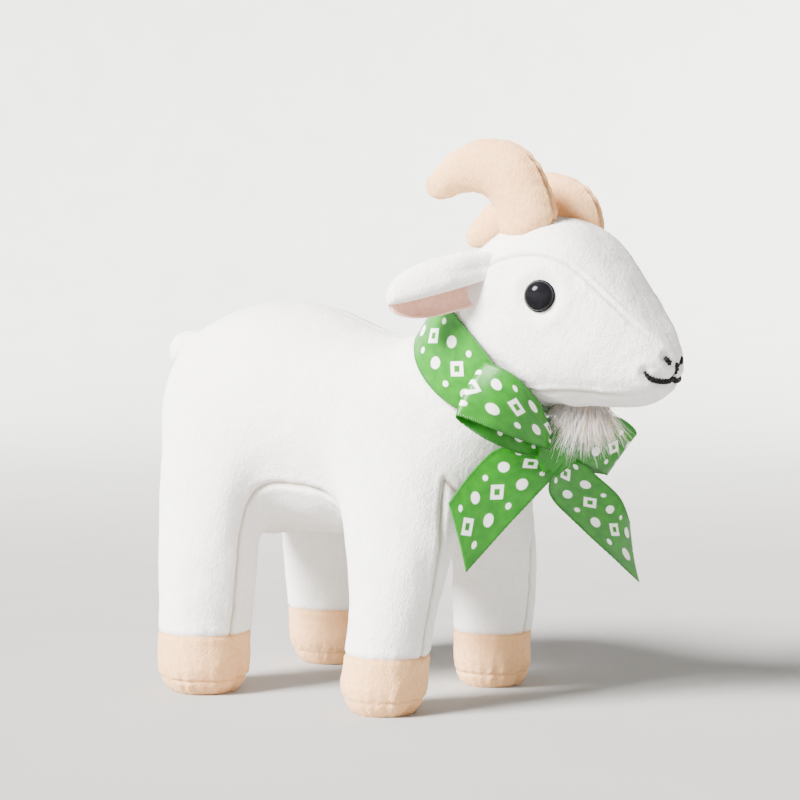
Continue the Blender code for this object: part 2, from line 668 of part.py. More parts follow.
def make_eye(name, head_pieces):
    """A round button eye: its shank goes through the cloth and a washer locks it inside."""
    sign = SIDES[name]
    surface, way, face, distance = HEAD.tree().find_nearest(place(sign * EYE_PLACE[0], *EYE_PLACE[1:]))
    crown = 2.4
    dome = [(0.0, crown + EYE_STANDOFF)]
    for step in range(1, 7):
        angle = radians(15 * step)
        dome.append((EYE_RADIUS * sin(angle), EYE_STANDOFF + 0.35 + (crown - 0.35) * cos(angle)))
    under = [(EYE_RADIUS - 0.1, EYE_STANDOFF), (EYE_SHANK, EYE_STANDOFF), (EYE_SHANK, -SHANK_DEPTH),
             (0.0, -SHANK_DEPTH)]
    add_turned("eye_" + name, dome + under, False, surface, way, "black_gloss")
    bore = EYE_SHANK + SEAM_GAP
    low = -WASHER_DEPTH - WASHER_THICKNESS
    ring = [(WASHER_RADIUS, -WASHER_DEPTH), (WASHER_RADIUS, low), (bore, low), (bore, -WASHER_DEPTH)]
    add_turned("eye_washer_" + name, ring, True, surface, way, "clear_washer")
    hole = [(0.0, 3.0), (bore, 3.0), (bore, -5.0), (0.0, -5.0)]
    wide = WASHER_RADIUS + SEAM_GAP
    floor = -SHANK_DEPTH - SEAM_GAP
    pocket = [(0.0, 2.0), (wide, 2.0), (wide, floor), (0.0, floor)]
    for title, profile, target in (("hole", hole, name), ("pocket", pocket, "stuffing")):
        cutter = add_turned("eye_%s_%s" % (title, name), profile, False, surface, way, "stuffing", CUTTERS)
        hide_cutter(cutter)
        cut(head_pieces[target], cutter)


def round_cage(sections, way, tag_of_side):
    """Rings of eight points on a straight line, closed at both ends: (place, half width, half length)."""
    cage = Cage()
    across = Vector((1.0, 0.0, 0.0))
    over = way.cross(across).normalized()
    ring = None
    for centre, half_width, half_length in sections:
        turn = [radians(45 * step) for step in range(8)]
        loop = cage.ring([centre + (over * cos(a) * half_length + across * sin(a) * half_width)
                          * ROUND_8 * MM for a in turn])
        if ring:
            cage.bridge(ring, loop, tag_of_side)
        else:
            cage.close(loop, centre, tag_of_side)
        ring = loop
    cage.close(ring, sections[-1][0] + way * 1.2 * MM, tag_of_side)
    return cage


def make_tail():
    """A small stuffed tail in two halves, narrow at its root, where it bends."""
    way = heading(*TAIL_TIP_WAY)
    root = place(*TAIL_ROOT)
    sections = [(root + way * along * MM, radius * 0.92, radius) for along, radius in TAIL_SECTIONS]
    skin = Skin(round_cage(sections, way, lambda side: "left" if side < 4 else "right"), 1)
    for half in ("left", "right"):
        cut(add_panel("tail_%s_half" % half, skin, (half,), "white_plush", 1.0), BODY_FORM)
    cut(add_object("tail_stuffing", skin.offset(-1.4), skin.faces, "stuffing"), BODY_FORM)


def make_beard():
    sections = [(place(x, forward, up), half_width, half_length)
                for x, forward, up, half_width, half_length in BEARD_SECTIONS]
    skin = Skin(round_cage(sections, heading(0.0, -0.2, -1.0), lambda side: "hair"), 1)
    cut(add_object("beard", skin.points, skin.faces, "beard_hair"), HEAD_FORM)


def stitch(name, guide, steps):
    """Lay one raised embroidery thread along a guide on the muzzle."""
    tree = HEAD.tree(SEAM_GAP + THREAD_RADIUS + 0.1)
    points = []
    for step in range(steps + 1):
        share = step / steps * (len(guide) - 1)
        index = min(int(share), len(guide) - 2)
        start, end = place(*guide[index]), place(*guide[index + 1])
        points.append(tree.find_nearest(start.lerp(end, share - index))[0])
    curve = bpy.data.curves.new(name, "CURVE")
    curve.dimensions = "3D"
    curve.bevel_depth = THREAD_RADIUS * MM
    curve.bevel_resolution = 2
    curve.use_fill_caps = True
    spline = curve.splines.new("POLY")
    spline.points.add(len(points) - 1)
    for knot, point in zip(spline.points, points):
        knot.co = (*point, 1.0)
    curve.materials.append(MATERIALS["black_thread"])
    PARTS.objects.link(bpy.data.objects.new(name, curve))


def mirrored(guide):
    return tuple((-x, forward, up) for x, forward, up in guide)


def make_stitches():
    """Two nostrils, the groove of the lip, and the mouth from corner to corner."""
    stitch("nostril_stitch_left", NOSTRIL_GUIDE, 3)
    stitch("nostril_stitch_right", mirrored(NOSTRIL_GUIDE), 3)
    stitch("lip_stitch", LIP_GUIDE, 3)
    stitch("mouth_stitch", MOUTH_GUIDE + mirrored(MOUTH_GUIDE[-2::-1]), 16)


# ---------------------------------------------------------------- the ribbon

def smooth_row(row, samples):
    """Points on a smooth curve through a row of points (Catmull-Rom)."""
    result = []
    count = len(row) - 1
    for number in range(count * samples + 1):
        index = min(number // samples, count - 1)
        share = number / samples - index
        before = row[max(index - 1, 0)]
        start, end = row[index], row[index + 1]
        after = row[min(index + 2, count)]
        bend = 2 * start + (end - before) * share
        bend += (2 * before - 5 * start + 4 * end - after) * share ** 2
        bend += (3 * start - before - 3 * end + after) * share ** 3
        result.append(0.5 * bend)
    return result


def strip_solid(name, upper, lower, lanes, thickness, closed=False):
    """A sheet between two edges, thickened evenly on both sides."""
    rows = [[high.lerp(low, lane / lanes) for lane in range(lanes + 1)] for high, low in zip(upper, lower)]
    count = len(rows)
    builder = bmesh.new()
    grid = [[builder.verts.new(point) for point in row] for row in rows]
    for index in range(count if closed else count - 1):
        first, second = grid[index], grid[(index + 1) % count]
        for lane in range(lanes):
            builder.faces.new((first[lane], second[lane], second[lane + 1], first[lane + 1]))
    bmesh.ops.recalc_face_normals(builder, faces=builder.faces)
    mesh = bpy.data.meshes.new(name)
    builder.to_mesh(mesh)
    builder.free()
    mesh.materials.append(MATERIALS["green_satin"])
    mesh.shade_smooth()
    piece = bpy.data.objects.new(name, mesh)
    PARTS.objects.link(piece)
    solid = piece.modifiers.new("thickness", "SOLIDIFY")
    solid.thickness = thickness * MM
    solid.offset = 0.0
    solid.use_even_offset = False
    return piece


def ribbon_strip(name, pairs, samples=2, lanes=2):
    upper = smooth_row([place(*high) for high, low in pairs], samples)
    lower = smooth_row([place(*low) for high, low in pairs], samples)
    return strip_solid(name, upper, lower, lanes, RIBBON_THICKNESS)


def make_neck_band():
    """The ribbon round the neck, lying just clear of the cloth, with its ends side by side at the throat."""
    trees = (BODY.tree(), HEAD.tree())
    across = Vector((1.0, 0.0, 0.0))
    throat = NECK_LINE.cross(across)
    if throat.z > 0.0:
        throat = -throat
    steps = 32
    upper, lower = [], []
    for step in range(steps):
        angle = 2 * pi * (step + 0.5) / steps
        out = throat * cos(angle) + across * sin(angle)
        spread = 1.0 - BAND_GATHER * max(0.0, cos(angle)) ** 2
        nape = 1.0 - BAND_NAPE_GATHER * max(0.0, -cos(angle)) ** 2
        for edge, row in ((0.5, upper), (-0.5 * nape, lower)):
            centre = NECK_JOINT + NECK_LINE * edge * spread * RIBBON_WIDTH * MM
            reach = 0.0
            for shift in (-4.0, 0.0, 4.0):
                start = centre + NECK_LINE * shift * MM + out * 45 * MM
                for tree in trees:
                    hit = tree.ray_cast(start, -out)[0]
                    if hit:
                        reach = max(reach, (hit - centre).dot(out))
            row.append((centre, out, reach))

    def ring(row):
        reaches = [reach for centre, out, reach in row]
        soft = [max(reaches[i], (reaches[i - 1] + reaches[i] + reaches[(i + 1) % steps]) / 3)
                for i in range(steps)]
        return [centre + out * (reach + BAND_STANDOFF * MM) for (centre, out, _), reach in zip(row, soft)]

    return strip_solid("ribbon_neck_band", ring(upper), ring(lower), 3, RIBBON_THICKNESS, closed=True)


def make_bow(band):
    """The knot at the throat over the band, the two loops and the two hanging tails."""
    throat = NECK_LINE.cross(Vector((1.0, 0.0, 0.0)))
    if throat.z > 0.0:
        throat = -throat
    axes = Matrix((Vector((1.0, 0.0, 0.0)), throat, NECK_LINE)).transposed()

    def knot_shape(grow):
        builder = bmesh.new()
        bmesh.ops.create_cube(builder, size=2.0)
        bmesh.ops.subdivide_edges(builder, edges=builder.edges, cuts=3, use_grid_fill=True)
        for vertex in builder.verts:
            round_share = vertex.co.normalized() * 1.15
            vertex.co = vertex.co.lerp(round_share, 0.62)
            vertex.co = Vector([value * (size + grow) * MM for value, size in zip(vertex.co, KNOT_SIZE)])
            vertex.co = place(*KNOT_CENTRE) + axes @ vertex.co
        points = [vertex.co.copy() for vertex in builder.verts]
        faces = [tuple(vertex.index for vertex in face.verts) for face in builder.faces]
        builder.free()
        return points, faces

    points, faces = knot_shape(0.0)
    add_object("ribbon_knot", points, faces, "green_satin")
    points, faces = knot_shape(SEAM_GAP)
    knot_form = add_cutter("knot_form", points, faces)
    pieces = [band,
              ribbon_strip("ribbon_loop_right", RIBBON_LOOP_RIGHT),
              ribbon_strip("ribbon_loop_left", RIBBON_LOOP_LEFT),
              ribbon_strip("ribbon_tail_right", RIBBON_TAIL_RIGHT),
              ribbon_strip("ribbon_tail_left", RIBBON_TAIL_LEFT)]
    for piece in pieces:
        cut(piece, knot_form)


make_body()
HEAD_PIECES = make_head()
for each_side in SIDES:
    make_horn(each_side)
    make_ear(each_side)
    make_eye(each_side, HEAD_PIECES)
make_tail()
make_beard()
make_stitches()
make_bow(make_neck_band())
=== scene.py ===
"""Looks of the plush goat: sewn skins, satin ribbon, embroidery, hair, light and camera over the frame.

Lengths are millimetres unless a comment says otherwise. A place is written (x, forward, up): x across the
goat, forward from the middle of its four hooves towards the nose, and up from what it stands on.
"""
import json
from math import cos, sin, pi, radians, sqrt

import bpy
import bmesh
import numpy as np
from mathutils import Matrix, Vector, noise
from mathutils.bvhtree import BVHTree
from mathutils.kdtree import KDTree


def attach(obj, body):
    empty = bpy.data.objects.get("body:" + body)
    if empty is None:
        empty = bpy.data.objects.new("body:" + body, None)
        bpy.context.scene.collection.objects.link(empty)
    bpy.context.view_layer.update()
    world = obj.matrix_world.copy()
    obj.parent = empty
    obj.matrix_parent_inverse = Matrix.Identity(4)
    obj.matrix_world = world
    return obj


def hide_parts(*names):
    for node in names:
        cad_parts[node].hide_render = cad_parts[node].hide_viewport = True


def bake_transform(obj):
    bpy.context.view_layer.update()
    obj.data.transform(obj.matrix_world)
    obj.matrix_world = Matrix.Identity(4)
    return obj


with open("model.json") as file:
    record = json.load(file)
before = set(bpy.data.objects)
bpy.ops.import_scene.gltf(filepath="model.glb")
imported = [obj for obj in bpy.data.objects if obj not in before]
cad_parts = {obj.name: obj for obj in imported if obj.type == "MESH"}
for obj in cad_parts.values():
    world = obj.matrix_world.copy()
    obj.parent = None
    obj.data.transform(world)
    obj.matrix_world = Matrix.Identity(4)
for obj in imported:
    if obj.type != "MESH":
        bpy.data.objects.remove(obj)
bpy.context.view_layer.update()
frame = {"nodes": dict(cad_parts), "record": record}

MM = 0.001
X_WAY = Vector((1.0, 0.0, 0.0))
UP_WAY = Vector((0.0, 0.0, 1.0))
SKIN_LEVELS = 4              # subdivisions of the torso's and head's cages: a point every 0.7 mm or so

# ---------------------------------------------------------------- the toy's shape

# These are the part's own numbers, apart from the eye, the ribbon's thickness, the knot, the lip, the tail
# and the inner ends of the right loop and the left hanging end, which are a little finer or fuller here.

REAR_HOOF_SEAM = 15.0
FRONT_HOOF_SEAM = 12.5
SOLE_RING_HEIGHT = 4.5
REAR_HOOF = (31.0, -32.5)     # x and forward
FRONT_HOOF = (27.5, 31.0)
REAR_LEG_RADIUS = 13.6
FRONT_LEG_RADIUS = 11.9
NECK_CENTRE = (0.0, 50.9, 98.2)
NECK_AXIS = (0.0, 0.68, 0.73)
EYE_RADIUS = 4.4
EYE_PLACE = (19.5, 78.0, 116.5)
RIBBON_WIDTH = 20.0
RIBBON_THICKNESS = 0.4
ROUND_12 = 1.047              # a ring of 12 or 8 points shrinks by this much when it is subdivided
ROUND_8 = 1.108

TORSO_RINGS = (
    ((-57.5, 102.0), (-55.0, 62.0), 23.0),
    ((-48.0, 111.5), (-47.5, 48.5), 33.5),
    ((-32.5, 115.8), (-32.5, 42.8), 35.5),
    ((-17.0, 116.0), (-17.0, 46.0), 34.0),
    ((0.0, 110.5), (0.0, 46.0), 32.0),
    ((12.0, 106.5), (16.0, 46.0), 31.0),
    ((19.0, 105.0), (34.0, 47.5), 29.5),
    ((25.0, 105.0), (55.5, 56.5), 25.5),
    ((27.5, 106.0), (59.5, 69.0), 20.8),
    ((32.6, 108.0), (61.4, 80.5), 18.9),
    ((38.0, 110.6), (63.9, 86.0), 18.0),
    ((45.5, 117.0), (69.0, 92.5), 17.5),
)
RUMP_POINT = (0.0, -60.5, 82.0)
NECK_END_POINT = (0.0, 59.0, 106.5)
HEAD_RINGS = (
    ((38.0, 110.6), (63.9, 86.0), 18.0),
    ((42.0, 119.0), (67.5, 85.0), 19.8),
    ((49.0, 129.5), (72.5, 85.5), 21.0),
    ((61.0, 137.5), (79.0, 85.5), 22.0),
    ((74.0, 139.3), (85.5, 85.0), 21.3),
    ((84.5, 135.5), (92.0, 85.0), 18.6),
    ((93.0, 124.0), (98.5, 85.5), 15.2),
    ((101.0, 113.0), (104.0, 88.0), 11.5),
    ((106.9, 105.3), (106.9, 92.0), 8.2),
)
HEAD_BACK_POINT = (0.0, 50.9, 98.2)
NOSE_POINT = (0.0, 110.7, 98.3)
CHIN_SEAM_ANGLE = 48.0
SKULL_SQUARENESS = 0.68

REAR_LEG_LEVELS = ((38.0, 1.13, -2.0, 0.0), (REAR_HOOF_SEAM, 1.0, 0.0, 0.0), (9.0, 1.05, 0.3, 0.4),
                   (SOLE_RING_HEIGHT, 0.98, 0.3, 0.4), (-1.6, 0.72, 0.0, 0.3))
FRONT_LEG_LEVELS = ((41.0, 1.10, -2.6, 4.4), (FRONT_HOOF_SEAM, 0.98, -0.4, 0.6), (8.5, 1.03, 0.2, 0.4),
                    (SOLE_RING_HEIGHT, 0.97, 0.2, 0.4), (-1.6, 0.72, 0.0, 0.2))

HORN_SPINES = {
    "right": ((10.3, 68.5, 127.5, 9.0), (10.5, 68.5, 137.0, 8.9), (11.0, 66.1, 146.5, 9.2),
              (12.2, 60.2, 152.6, 9.0), (13.5, 52.9, 152.9, 7.1), (14.7, 45.6, 150.3, 5.4),
              (16.0, 39.9, 145.9, 3.5)),
    "left": ((10.3, 71.2, 127.0, 9.0), (10.5, 71.6, 136.0, 9.0), (10.8, 68.9, 142.4, 9.0),
             (11.0, 61.2, 144.6, 8.5), (10.7, 52.2, 142.3, 7.1), (10.2, 43.3, 137.6, 5.4),
             (9.8, 36.1, 133.2, 3.5)),
}
HORN_FLATNESS = 0.76
HORN_TIP = 2.2                # how far the tip's point stands past the last ring

EAR_ROOT = (21.3, 57.3, 121.0)
EAR_TIP_WAY = (15.0, -17.5, -6.5)
EAR_FACING = (0.77, 0.64, 0.0)
EAR_LENGTH = 24.5
EAR_HALF_HEIGHT = 8.4
EAR_DEPTH_SHARE = 0.62
EAR_ANGLES = (-80.0, 188.0)

TAIL_ROOT = (0.0, -57.5, 102.6)
TAIL_TIP_WAY = (0.0, -0.95, -0.27)
TAIL_FLATNESS = 0.92
TAIL_TIP = 1.2
TAIL_SECTIONS = ((0.0, 2.6), (3.0, 5.2), (8.0, 6.4), (12.0, 6.0), (15.4, 3.6))

NOSTRIL_GUIDE = ((5.2, 109.5, 100.4), (3.4, 110.5, 98.4))
LIP_GUIDE = ((0.0, 111.0, 98.8), (0.0, 112.0, 96.6), (0.0, 110.8, 94.0))
MOUTH_GUIDE = ((9.4, 104.2, 96.4), (8.6, 105.4, 94.6), (6.4, 108.0, 93.0), (3.0, 109.5, 92.5),
               (0.0, 110.5, 92.9))

KNOT_CENTRE = (0.0, 69.3, 74.7)
KNOT_SIZE = (6.0, 6.4, 6.8)   # half sizes across, out from the throat and along the neck
RIBBON_LOOP_RIGHT = (
    ((-6.8, 71.4, 83.2), (-2.6, 71.9, 73.2)), ((-13.6, 73.3, 88.4), (-8.0, 72.6, 74.6)),
    ((-19.8, 71.0, 94.4), (-15.9, 70.8, 77.0)), ((-22.0, 67.0, 97.2), (-24.5, 66.4, 80.6)),
    ((-22.4, 63.2, 98.4), (-29.6, 60.6, 83.6)), ((-21.8, 61.6, 98.5), (-31.0, 58.4, 84.2)),
    ((-21.9, 63.0, 97.3), (-29.0, 58.9, 82.2)), ((-20.3, 67.0, 93.3), (-23.0, 63.4, 77.4)),
    ((-13.6, 70.9, 86.8), (-13.0, 67.2, 73.4)), ((-6.7, 70.3, 82.8), (-5.3, 68.8, 72.4)),
)
RIBBON_LOOP_LEFT = (
    ((6.5, 71.5, 82.0), (3.2, 71.6, 74.2)), ((11.0, 76.4, 83.0), (8.6, 73.2, 70.6)),
    ((17.5, 80.6, 82.6), (17.0, 73.4, 67.6)), ((23.2, 82.6, 79.4), (25.0, 72.3, 65.4)),
    ((25.4, 82.0, 77.2), (28.4, 70.6, 65.2)), ((24.4, 80.2, 77.6), (27.0, 69.2, 65.4)),
    ((17.0, 77.2, 80.4), (18.0, 69.3, 67.0)), ((10.5, 73.4, 81.0), (9.8, 69.0, 71.0)),
    ((6.5, 70.2, 80.6), (5.2, 68.4, 73.2)),
)
RIBBON_TAIL_RIGHT = (
    ((-6.4, 66.6, 74.4), (-0.8, 71.4, 68.8)), ((-11.0, 64.6, 75.4), (-2.2, 71.0, 66.0)),
    ((-16.5, 60.9, 74.0), (-6.5, 69.6, 62.4)), ((-23.0, 57.2, 67.5), (-15.5, 64.2, 52.8)),
    ((-29.0, 54.6, 60.2), (-26.0, 58.4, 41.3)),
)
RIBBON_TAIL_LEFT = (
    ((7.2, 71.2, 72.6), (0.6, 70.6, 69.6)), ((10.8, 71.9, 71.0), (-1.2, 69.6, 65.2)),
    ((16.0, 74.4, 66.0), (1.8, 68.6, 60.0)), ((24.0, 77.5, 59.3), (11.6, 71.2, 51.8)),
    ((31.0, 77.0, 51.5), (33.0, 79.0, 34.0)),
)
BAND_GATHER = 0.7
BAND_NAPE_GATHER = 0.4

MOUNTS = {mount["name"]: mount["pos_m"] for mount in frame["record"]["mounts"]}
ORIGIN_Y = MOUNTS["sole_front_left"][1] / MM + FRONT_HOOF[1]    # where forward is 0, in millimetres
SIDES = {"left": 1, "right": -1}


def place(x, forward, up):
    """Turn a place on the goat, in millimetres, into a world position in metres."""
    return Vector((x, ORIGIN_Y - forward, up)) * MM


def heading(x, forward, up):
    """Turn a direction on the goat into a unit world vector."""
    return Vector((x, -forward, up)).normalized()


NECK_JOINT = place(*NECK_CENTRE)
NECK_LINE = heading(*NECK_AXIS)
THROAT_WAY = NECK_LINE.cross(X_WAY)
if THROAT_WAY.z > 0.0:
    THROAT_WAY = -THROAT_WAY

GOAT = bpy.data.collections.new("goat")
bpy.context.scene.collection.children.link(GOAT)


# ---------------------------------------------------------------- materials

class Nodes:
    """A material's node tree, with short ways to add and join its nodes."""

    def __init__(self, name):
        self.material = bpy.data.materials.new(name)
        self.material.use_nodes = True
        self.tree = self.material.node_tree
        self.shader = self.tree.nodes["Principled BSDF"]

    def set(self, **values):
        for socket, value in values.items():
            self.shader.inputs[socket.replace("_", " ")].default_value = value

    def add(self, kind, values=None, **settings):
        node = self.tree.nodes.new(kind)
        for name, value in settings.items():
            setattr(node, name, value)
        for socket, value in (values or {}).items():
            if hasattr(value, "is_output"):
                self.tree.links.new(value, node.inputs[socket])
            else:
                node.inputs[socket].default_value = value
        return node

    def link(self, output, socket):
        self.tree.links.new(output, self.shader.inputs[socket])

    def where(self):
        """Places in the object's own space, in metres."""
        return self.add("ShaderNodeTexCoord").outputs["Object"]

    def math(self, operation, first, second=0.0, third=0.0):
        return self.add("ShaderNodeMath", {0: first, 1: second, 2: third}, operation=operation).outputs[0]

    def noise(self, vector, scale, detail, roughness=0.55):
        values = {"Vector": vector, "Scale": scale, "Detail": detail, "Roughness": roughness}
        return self.add("ShaderNodeTexNoise", values).outputs["Fac"]

    def ramp(self, factor, stops):
        node = self.add("ShaderNodeValToRGB", {"Fac": factor})
        elements = node.color_ramp.elements
        while len(elements) < len(stops):
            elements.new(0.5)
        for element, (position, shade) in zip(elements, stops):
            element.position = position
            element.color = shade
        return node.outputs["Color"]

    def mix(self, factor, first, second):
        node = self.add("ShaderNodeMix", data_type="RGBA")
        sockets = {name: [s for s in node.inputs if s.name == name and s.type == kind][0]
                   for name, kind in (("Factor", "VALUE"), ("A", "RGBA"), ("B", "RGBA"))}
        for name, value in (("Factor", factor), ("A", first), ("B", second)):
            if hasattr(value, "is_output"):
                self.tree.links.new(value, sockets[name])
            else:
                sockets[name].default_value = value
        return [s for s in node.outputs if s.type == "RGBA"][0]

    def bump(self, heights, chain=None):
        """Stack bumps, each (height, strength, distance in mm), and give them to the shader."""
        for height, strength, distance in heights:
            values = {"Height": height, "Strength": strength, "Distance": distance * MM}
            if chain:
                values["Normal"] = chain
            chain = self.add("ShaderNodeBump", values).outputs["Normal"]
        self.link(chain, "Normal")


def colour(red, green, blue):
    return (red, green, blue, 1.0)


def dimmed(shade, red, green, blue):
    """A colour with each of its parts lowered to a share."""
    return colour(shade[0] * red, shade[1] * green, shade[2] * blue)


# A noise is given by its scale per metre and its detail, and for the tufts by its roughness too.
TUFTS = (2200.0, 2.0, 0.6)
CLUMPS = (800.0, 2.0)
DRIFT = (60.0, 2.0)
# painted shade in the seams' grooves: these shares of the darker pile colour are what is left there
GROOVE_SHADE_SHARES = (0.62, 0.52, 0.43)      # how much of each colour is left down in a seam


def plush_material(name, light, dark):
    """Short soft pile: matt, lightly mottled, with tufts a fraction of a millimetre across."""
    nodes = Nodes(name)
    where = nodes.where()
    nap = nodes.add("ShaderNodeMapping", {"Vector": where, "Scale": (1.0, 1.0, 0.8)}).outputs["Vector"]
    tufts = nodes.noise(nap, *TUFTS)
    clumps = nodes.noise(nap, *CLUMPS)
    drift = nodes.noise(where, *DRIFT)
    mottle = nodes.math("MULTIPLY_ADD", clumps, 0.6, nodes.math("MULTIPLY", drift, 0.4))
    pile = nodes.ramp(mottle, ((0.34, dark), (0.62, light)))
    # painted shade: the seam attribute darkens the pile in the seams' grooves and where the horns go into
    # the head
    seam = nodes.add("ShaderNodeAttribute", attribute_name="seam").outputs["Fac"]
    nodes.link(nodes.mix(seam, pile, dimmed(dark, *GROOVE_SHADE_SHARES)), "Base Color")
    nodes.set(Roughness=0.95, Sheen_Weight=0.08, Sheen_Roughness=0.5, Specular_IOR_Level=0.12)
    nodes.bump(((clumps, 0.55, 0.42), (tufts, 0.8, 0.30)))
    return nodes.material


PRINT_CELL = 13.0             # length of ribbon between one row of the white print and the next
PRINT_START = 8.3             # where in the print each piece begins: in the plain gap
PRINT_SOFTNESS = 0.12
RIBBON_MIDDLE = 0.5 * RIBBON_WIDTH
# A mark is its shift along the print, its middle across the ribbon and its radius.
DIAMOND = (0.0, RIBBON_MIDDLE, 2.9)
DIAMOND_HOLE = (0.0, RIBBON_MIDDLE, 1.25)
DOTS = ((0.5 * PRINT_CELL, 6.0, 1.7), (0.0, 4.3, 0.9),
        (0.5 * PRINT_CELL, RIBBON_WIDTH - 6.0, 1.7), (0.0, RIBBON_WIDTH - 4.3, 0.9))
RIB_PITCH = 0.42
YARN_PITCH = 0.30
WOVEN_EDGE = 9.1              # from the ribbon's middle to where its woven edge begins


def satin_material(name):
    """Green satin ribbon with fine cross ribs, a woven edge and a plain white print of dots and diamonds."""
    nodes = Nodes(name)
    uv = nodes.add("ShaderNodeUVMap", uv_map="ribbon").outputs["UV"]
    split = nodes.add("ShaderNodeSeparateXYZ", {"Vector": uv})
    along, across = split.outputs["X"], split.outputs["Y"]

    def marks_at(shift, centre, radius, pointed):
        """A row of dots or diamonds along the ribbon, as a soft-edged mask."""
        run = nodes.math("PINGPONG", nodes.math("ADD", along, shift), 0.5 * PRINT_CELL)
        rise = nodes.math("ABSOLUTE", nodes.math("SUBTRACT", across, centre))
        if pointed:
            reach = nodes.math("ADD", run, rise)
        else:
            squares = nodes.math("MULTIPLY_ADD", run, run, nodes.math("MULTIPLY", rise, rise))
            reach = nodes.math("SQRT", squares)
        limits = {"Value": reach, "From Min": radius - PRINT_SOFTNESS, "From Max": radius + PRINT_SOFTNESS,
                  "To Min": 1.0, "To Max": 0.0}
        return nodes.add("ShaderNodeMapRange", limits).outputs["Result"]

    marks = marks_at(*DIAMOND, True)
    for dot in DOTS:
        marks = nodes.math("MAXIMUM", marks, marks_at(*dot, False))
    marks = nodes.math("SUBTRACT", marks, marks_at(*DIAMOND_HOLE, True))
    ribs = nodes.math("SINE", nodes.math("MULTIPLY", along, 2 * pi / RIB_PITCH))
    yarns = nodes.math("SINE", nodes.math("MULTIPLY", across, 2 * pi / YARN_PITCH))
    weave = nodes.math("MULTIPLY", ribs, yarns)
    drift = nodes.noise(uv, 0.35, 2.0)
    green = nodes.ramp(drift, ((0.35, colour(0.006, 0.155, 0.001)), (0.65, colour(0.012, 0.215, 0.001))))
    off_middle = nodes.math("ABSOLUTE", nodes.math("SUBTRACT", across, RIBBON_MIDDLE))
    border = nodes.math("GREATER_THAN", off_middle, WOVEN_EDGE)
    green = nodes.mix(nodes.math("MULTIPLY", border, 0.45), green, colour(0.008, 0.13, 0.002))
    nodes.link(nodes.mix(marks, green, colour(0.90, 0.93, 0.88)), "Base Color")
    gloss = nodes.math("MULTIPLY_ADD", marks, 0.2, nodes.math("MULTIPLY_ADD", border, 0.15, 0.30))
    nodes.link(gloss, "Roughness")
    grain = nodes.add("ShaderNodeTangent", direction_type="UV_MAP", uv_map="ribbon")
    nodes.link(grain.outputs["Tangent"], "Tangent")
    nodes.set(Anisotropic=0.6, Specular_IOR_Level=0.45)
    nodes.bump(((weave, 0.30, 0.05), (nodes.math("MULTIPLY", border, ribs), 0.6, 0.12)))
    return nodes.material


def grained_material(name, low, high, grain, relief, **settings):
    """A surface whose colour and height follow one noise; relief is the bump's strength and distance."""
    nodes = Nodes(name)
    height = nodes.noise(nodes.where(), *grain)
    nodes.link(nodes.ramp(height, ((0.3, low), (0.7, high))), "Base Color")
    nodes.set(**settings)
    nodes.bump(((height, *relief),))
    return nodes.material


def hair_material(name, base):
    """Synthetic hair: a little gloss and uneven colour along each strand."""
    return grained_material(name, dimmed(base, 0.72, 0.72, 0.72), base, (400.0, 2.0), (0.2, 0.05),
                            Roughness=0.45, Sheen_Weight=0.2, Specular_IOR_Level=0.4)


BLACK_FLOSS = colour(0.006, 0.005, 0.006)

MATERIALS = {
    "white_plush": plush_material("white pile", colour(0.93, 0.915, 0.895), colour(0.86, 0.84, 0.81)),
    "peach_plush": plush_material("peach pile", colour(0.87, 0.52, 0.26), colour(0.79, 0.42, 0.19)),
    "pink_plush": plush_material("pink pile", colour(0.95, 0.62, 0.50), colour(0.88, 0.48, 0.36)),
    "green_satin": satin_material("green satin"),
    "black_gloss": grained_material(
        "polished black", colour(0.004, 0.004, 0.005), colour(0.010, 0.010, 0.013),
        (220.0, 1.0), (0.08, 0.05), Roughness=0.10, Specular_IOR_Level=0.07),
    "black_thread": grained_material(
        "black floss", dimmed(BLACK_FLOSS, 0.6, 0.6, 0.6), BLACK_FLOSS,
        (3333.3333, 2.0), (0.5, 0.12), Roughness=0.6, Sheen_Weight=0.03, Specular_IOR_Level=0.2),
    "beard_hair": hair_material("grey white hair", colour(0.74, 0.72, 0.70)),
    "stuffing": grained_material(
        "fibre fill", colour(0.80, 0.80, 0.79), colour(0.93, 0.93, 0.92),
        (300.0, 4.0), (0.3, 1.2), Roughness=1.0),
    "clear_washer": grained_material(
        "washer", colour(0.66, 0.68, 0.70), colour(0.74, 0.76, 0.78),
        (500.0, 4.0), (0.3, 0.1), Roughness=0.4),
}
HAIR_TINTS = (MATERIALS["beard_hair"], hair_material("white hair", colour(0.86, 0.84, 0.82)),
              hair_material("peach hair", colour(0.72, 0.50, 0.35)))


# ---------------------------------------------------------------- dense surfaces from coarse cages

class Cage:
    """A coarse closed surface whose faces carry the name of the panel that they belong to."""

    def __init__(self):
        self.points = []
        self.faces = []
        self.tags = []

    def ring(self, points):
        first = len(self.points)
        self.points.extend(points)
        return list(range(first, len(self.points)))

    def face(self, corners, tag):
        self.faces.append(tuple(corners))
        self.tags.append(tag)

    def bridge(self, lower, upper, tag_of_side):
        count = len(lower)
        for side in range(count):
            after = (side + 1) % count
            self.face((lower[side], lower[after], upper[after], upper[side]), tag_of_side(side))

    def close(self, ring, middle, tag_of_side):
        """Close a ring of an even number of points with quads that meet at a middle point."""
        hub = self.ring([middle])[0]
        count = len(ring)
        for side in range(0, count, 2):
            corners = (hub, ring[side], ring[side + 1], ring[(side + 2) % count])
            self.face(corners, tag_of_side(side))


def read(collection, attribute, width, kind=np.float64):
    """One attribute of a mesh's vertices, loops or polygons as an array."""
    values = np.empty(len(collection) * width, kind)
    collection.foreach_get(attribute, values)
    return values.reshape(-1, width) if width > 1 else values


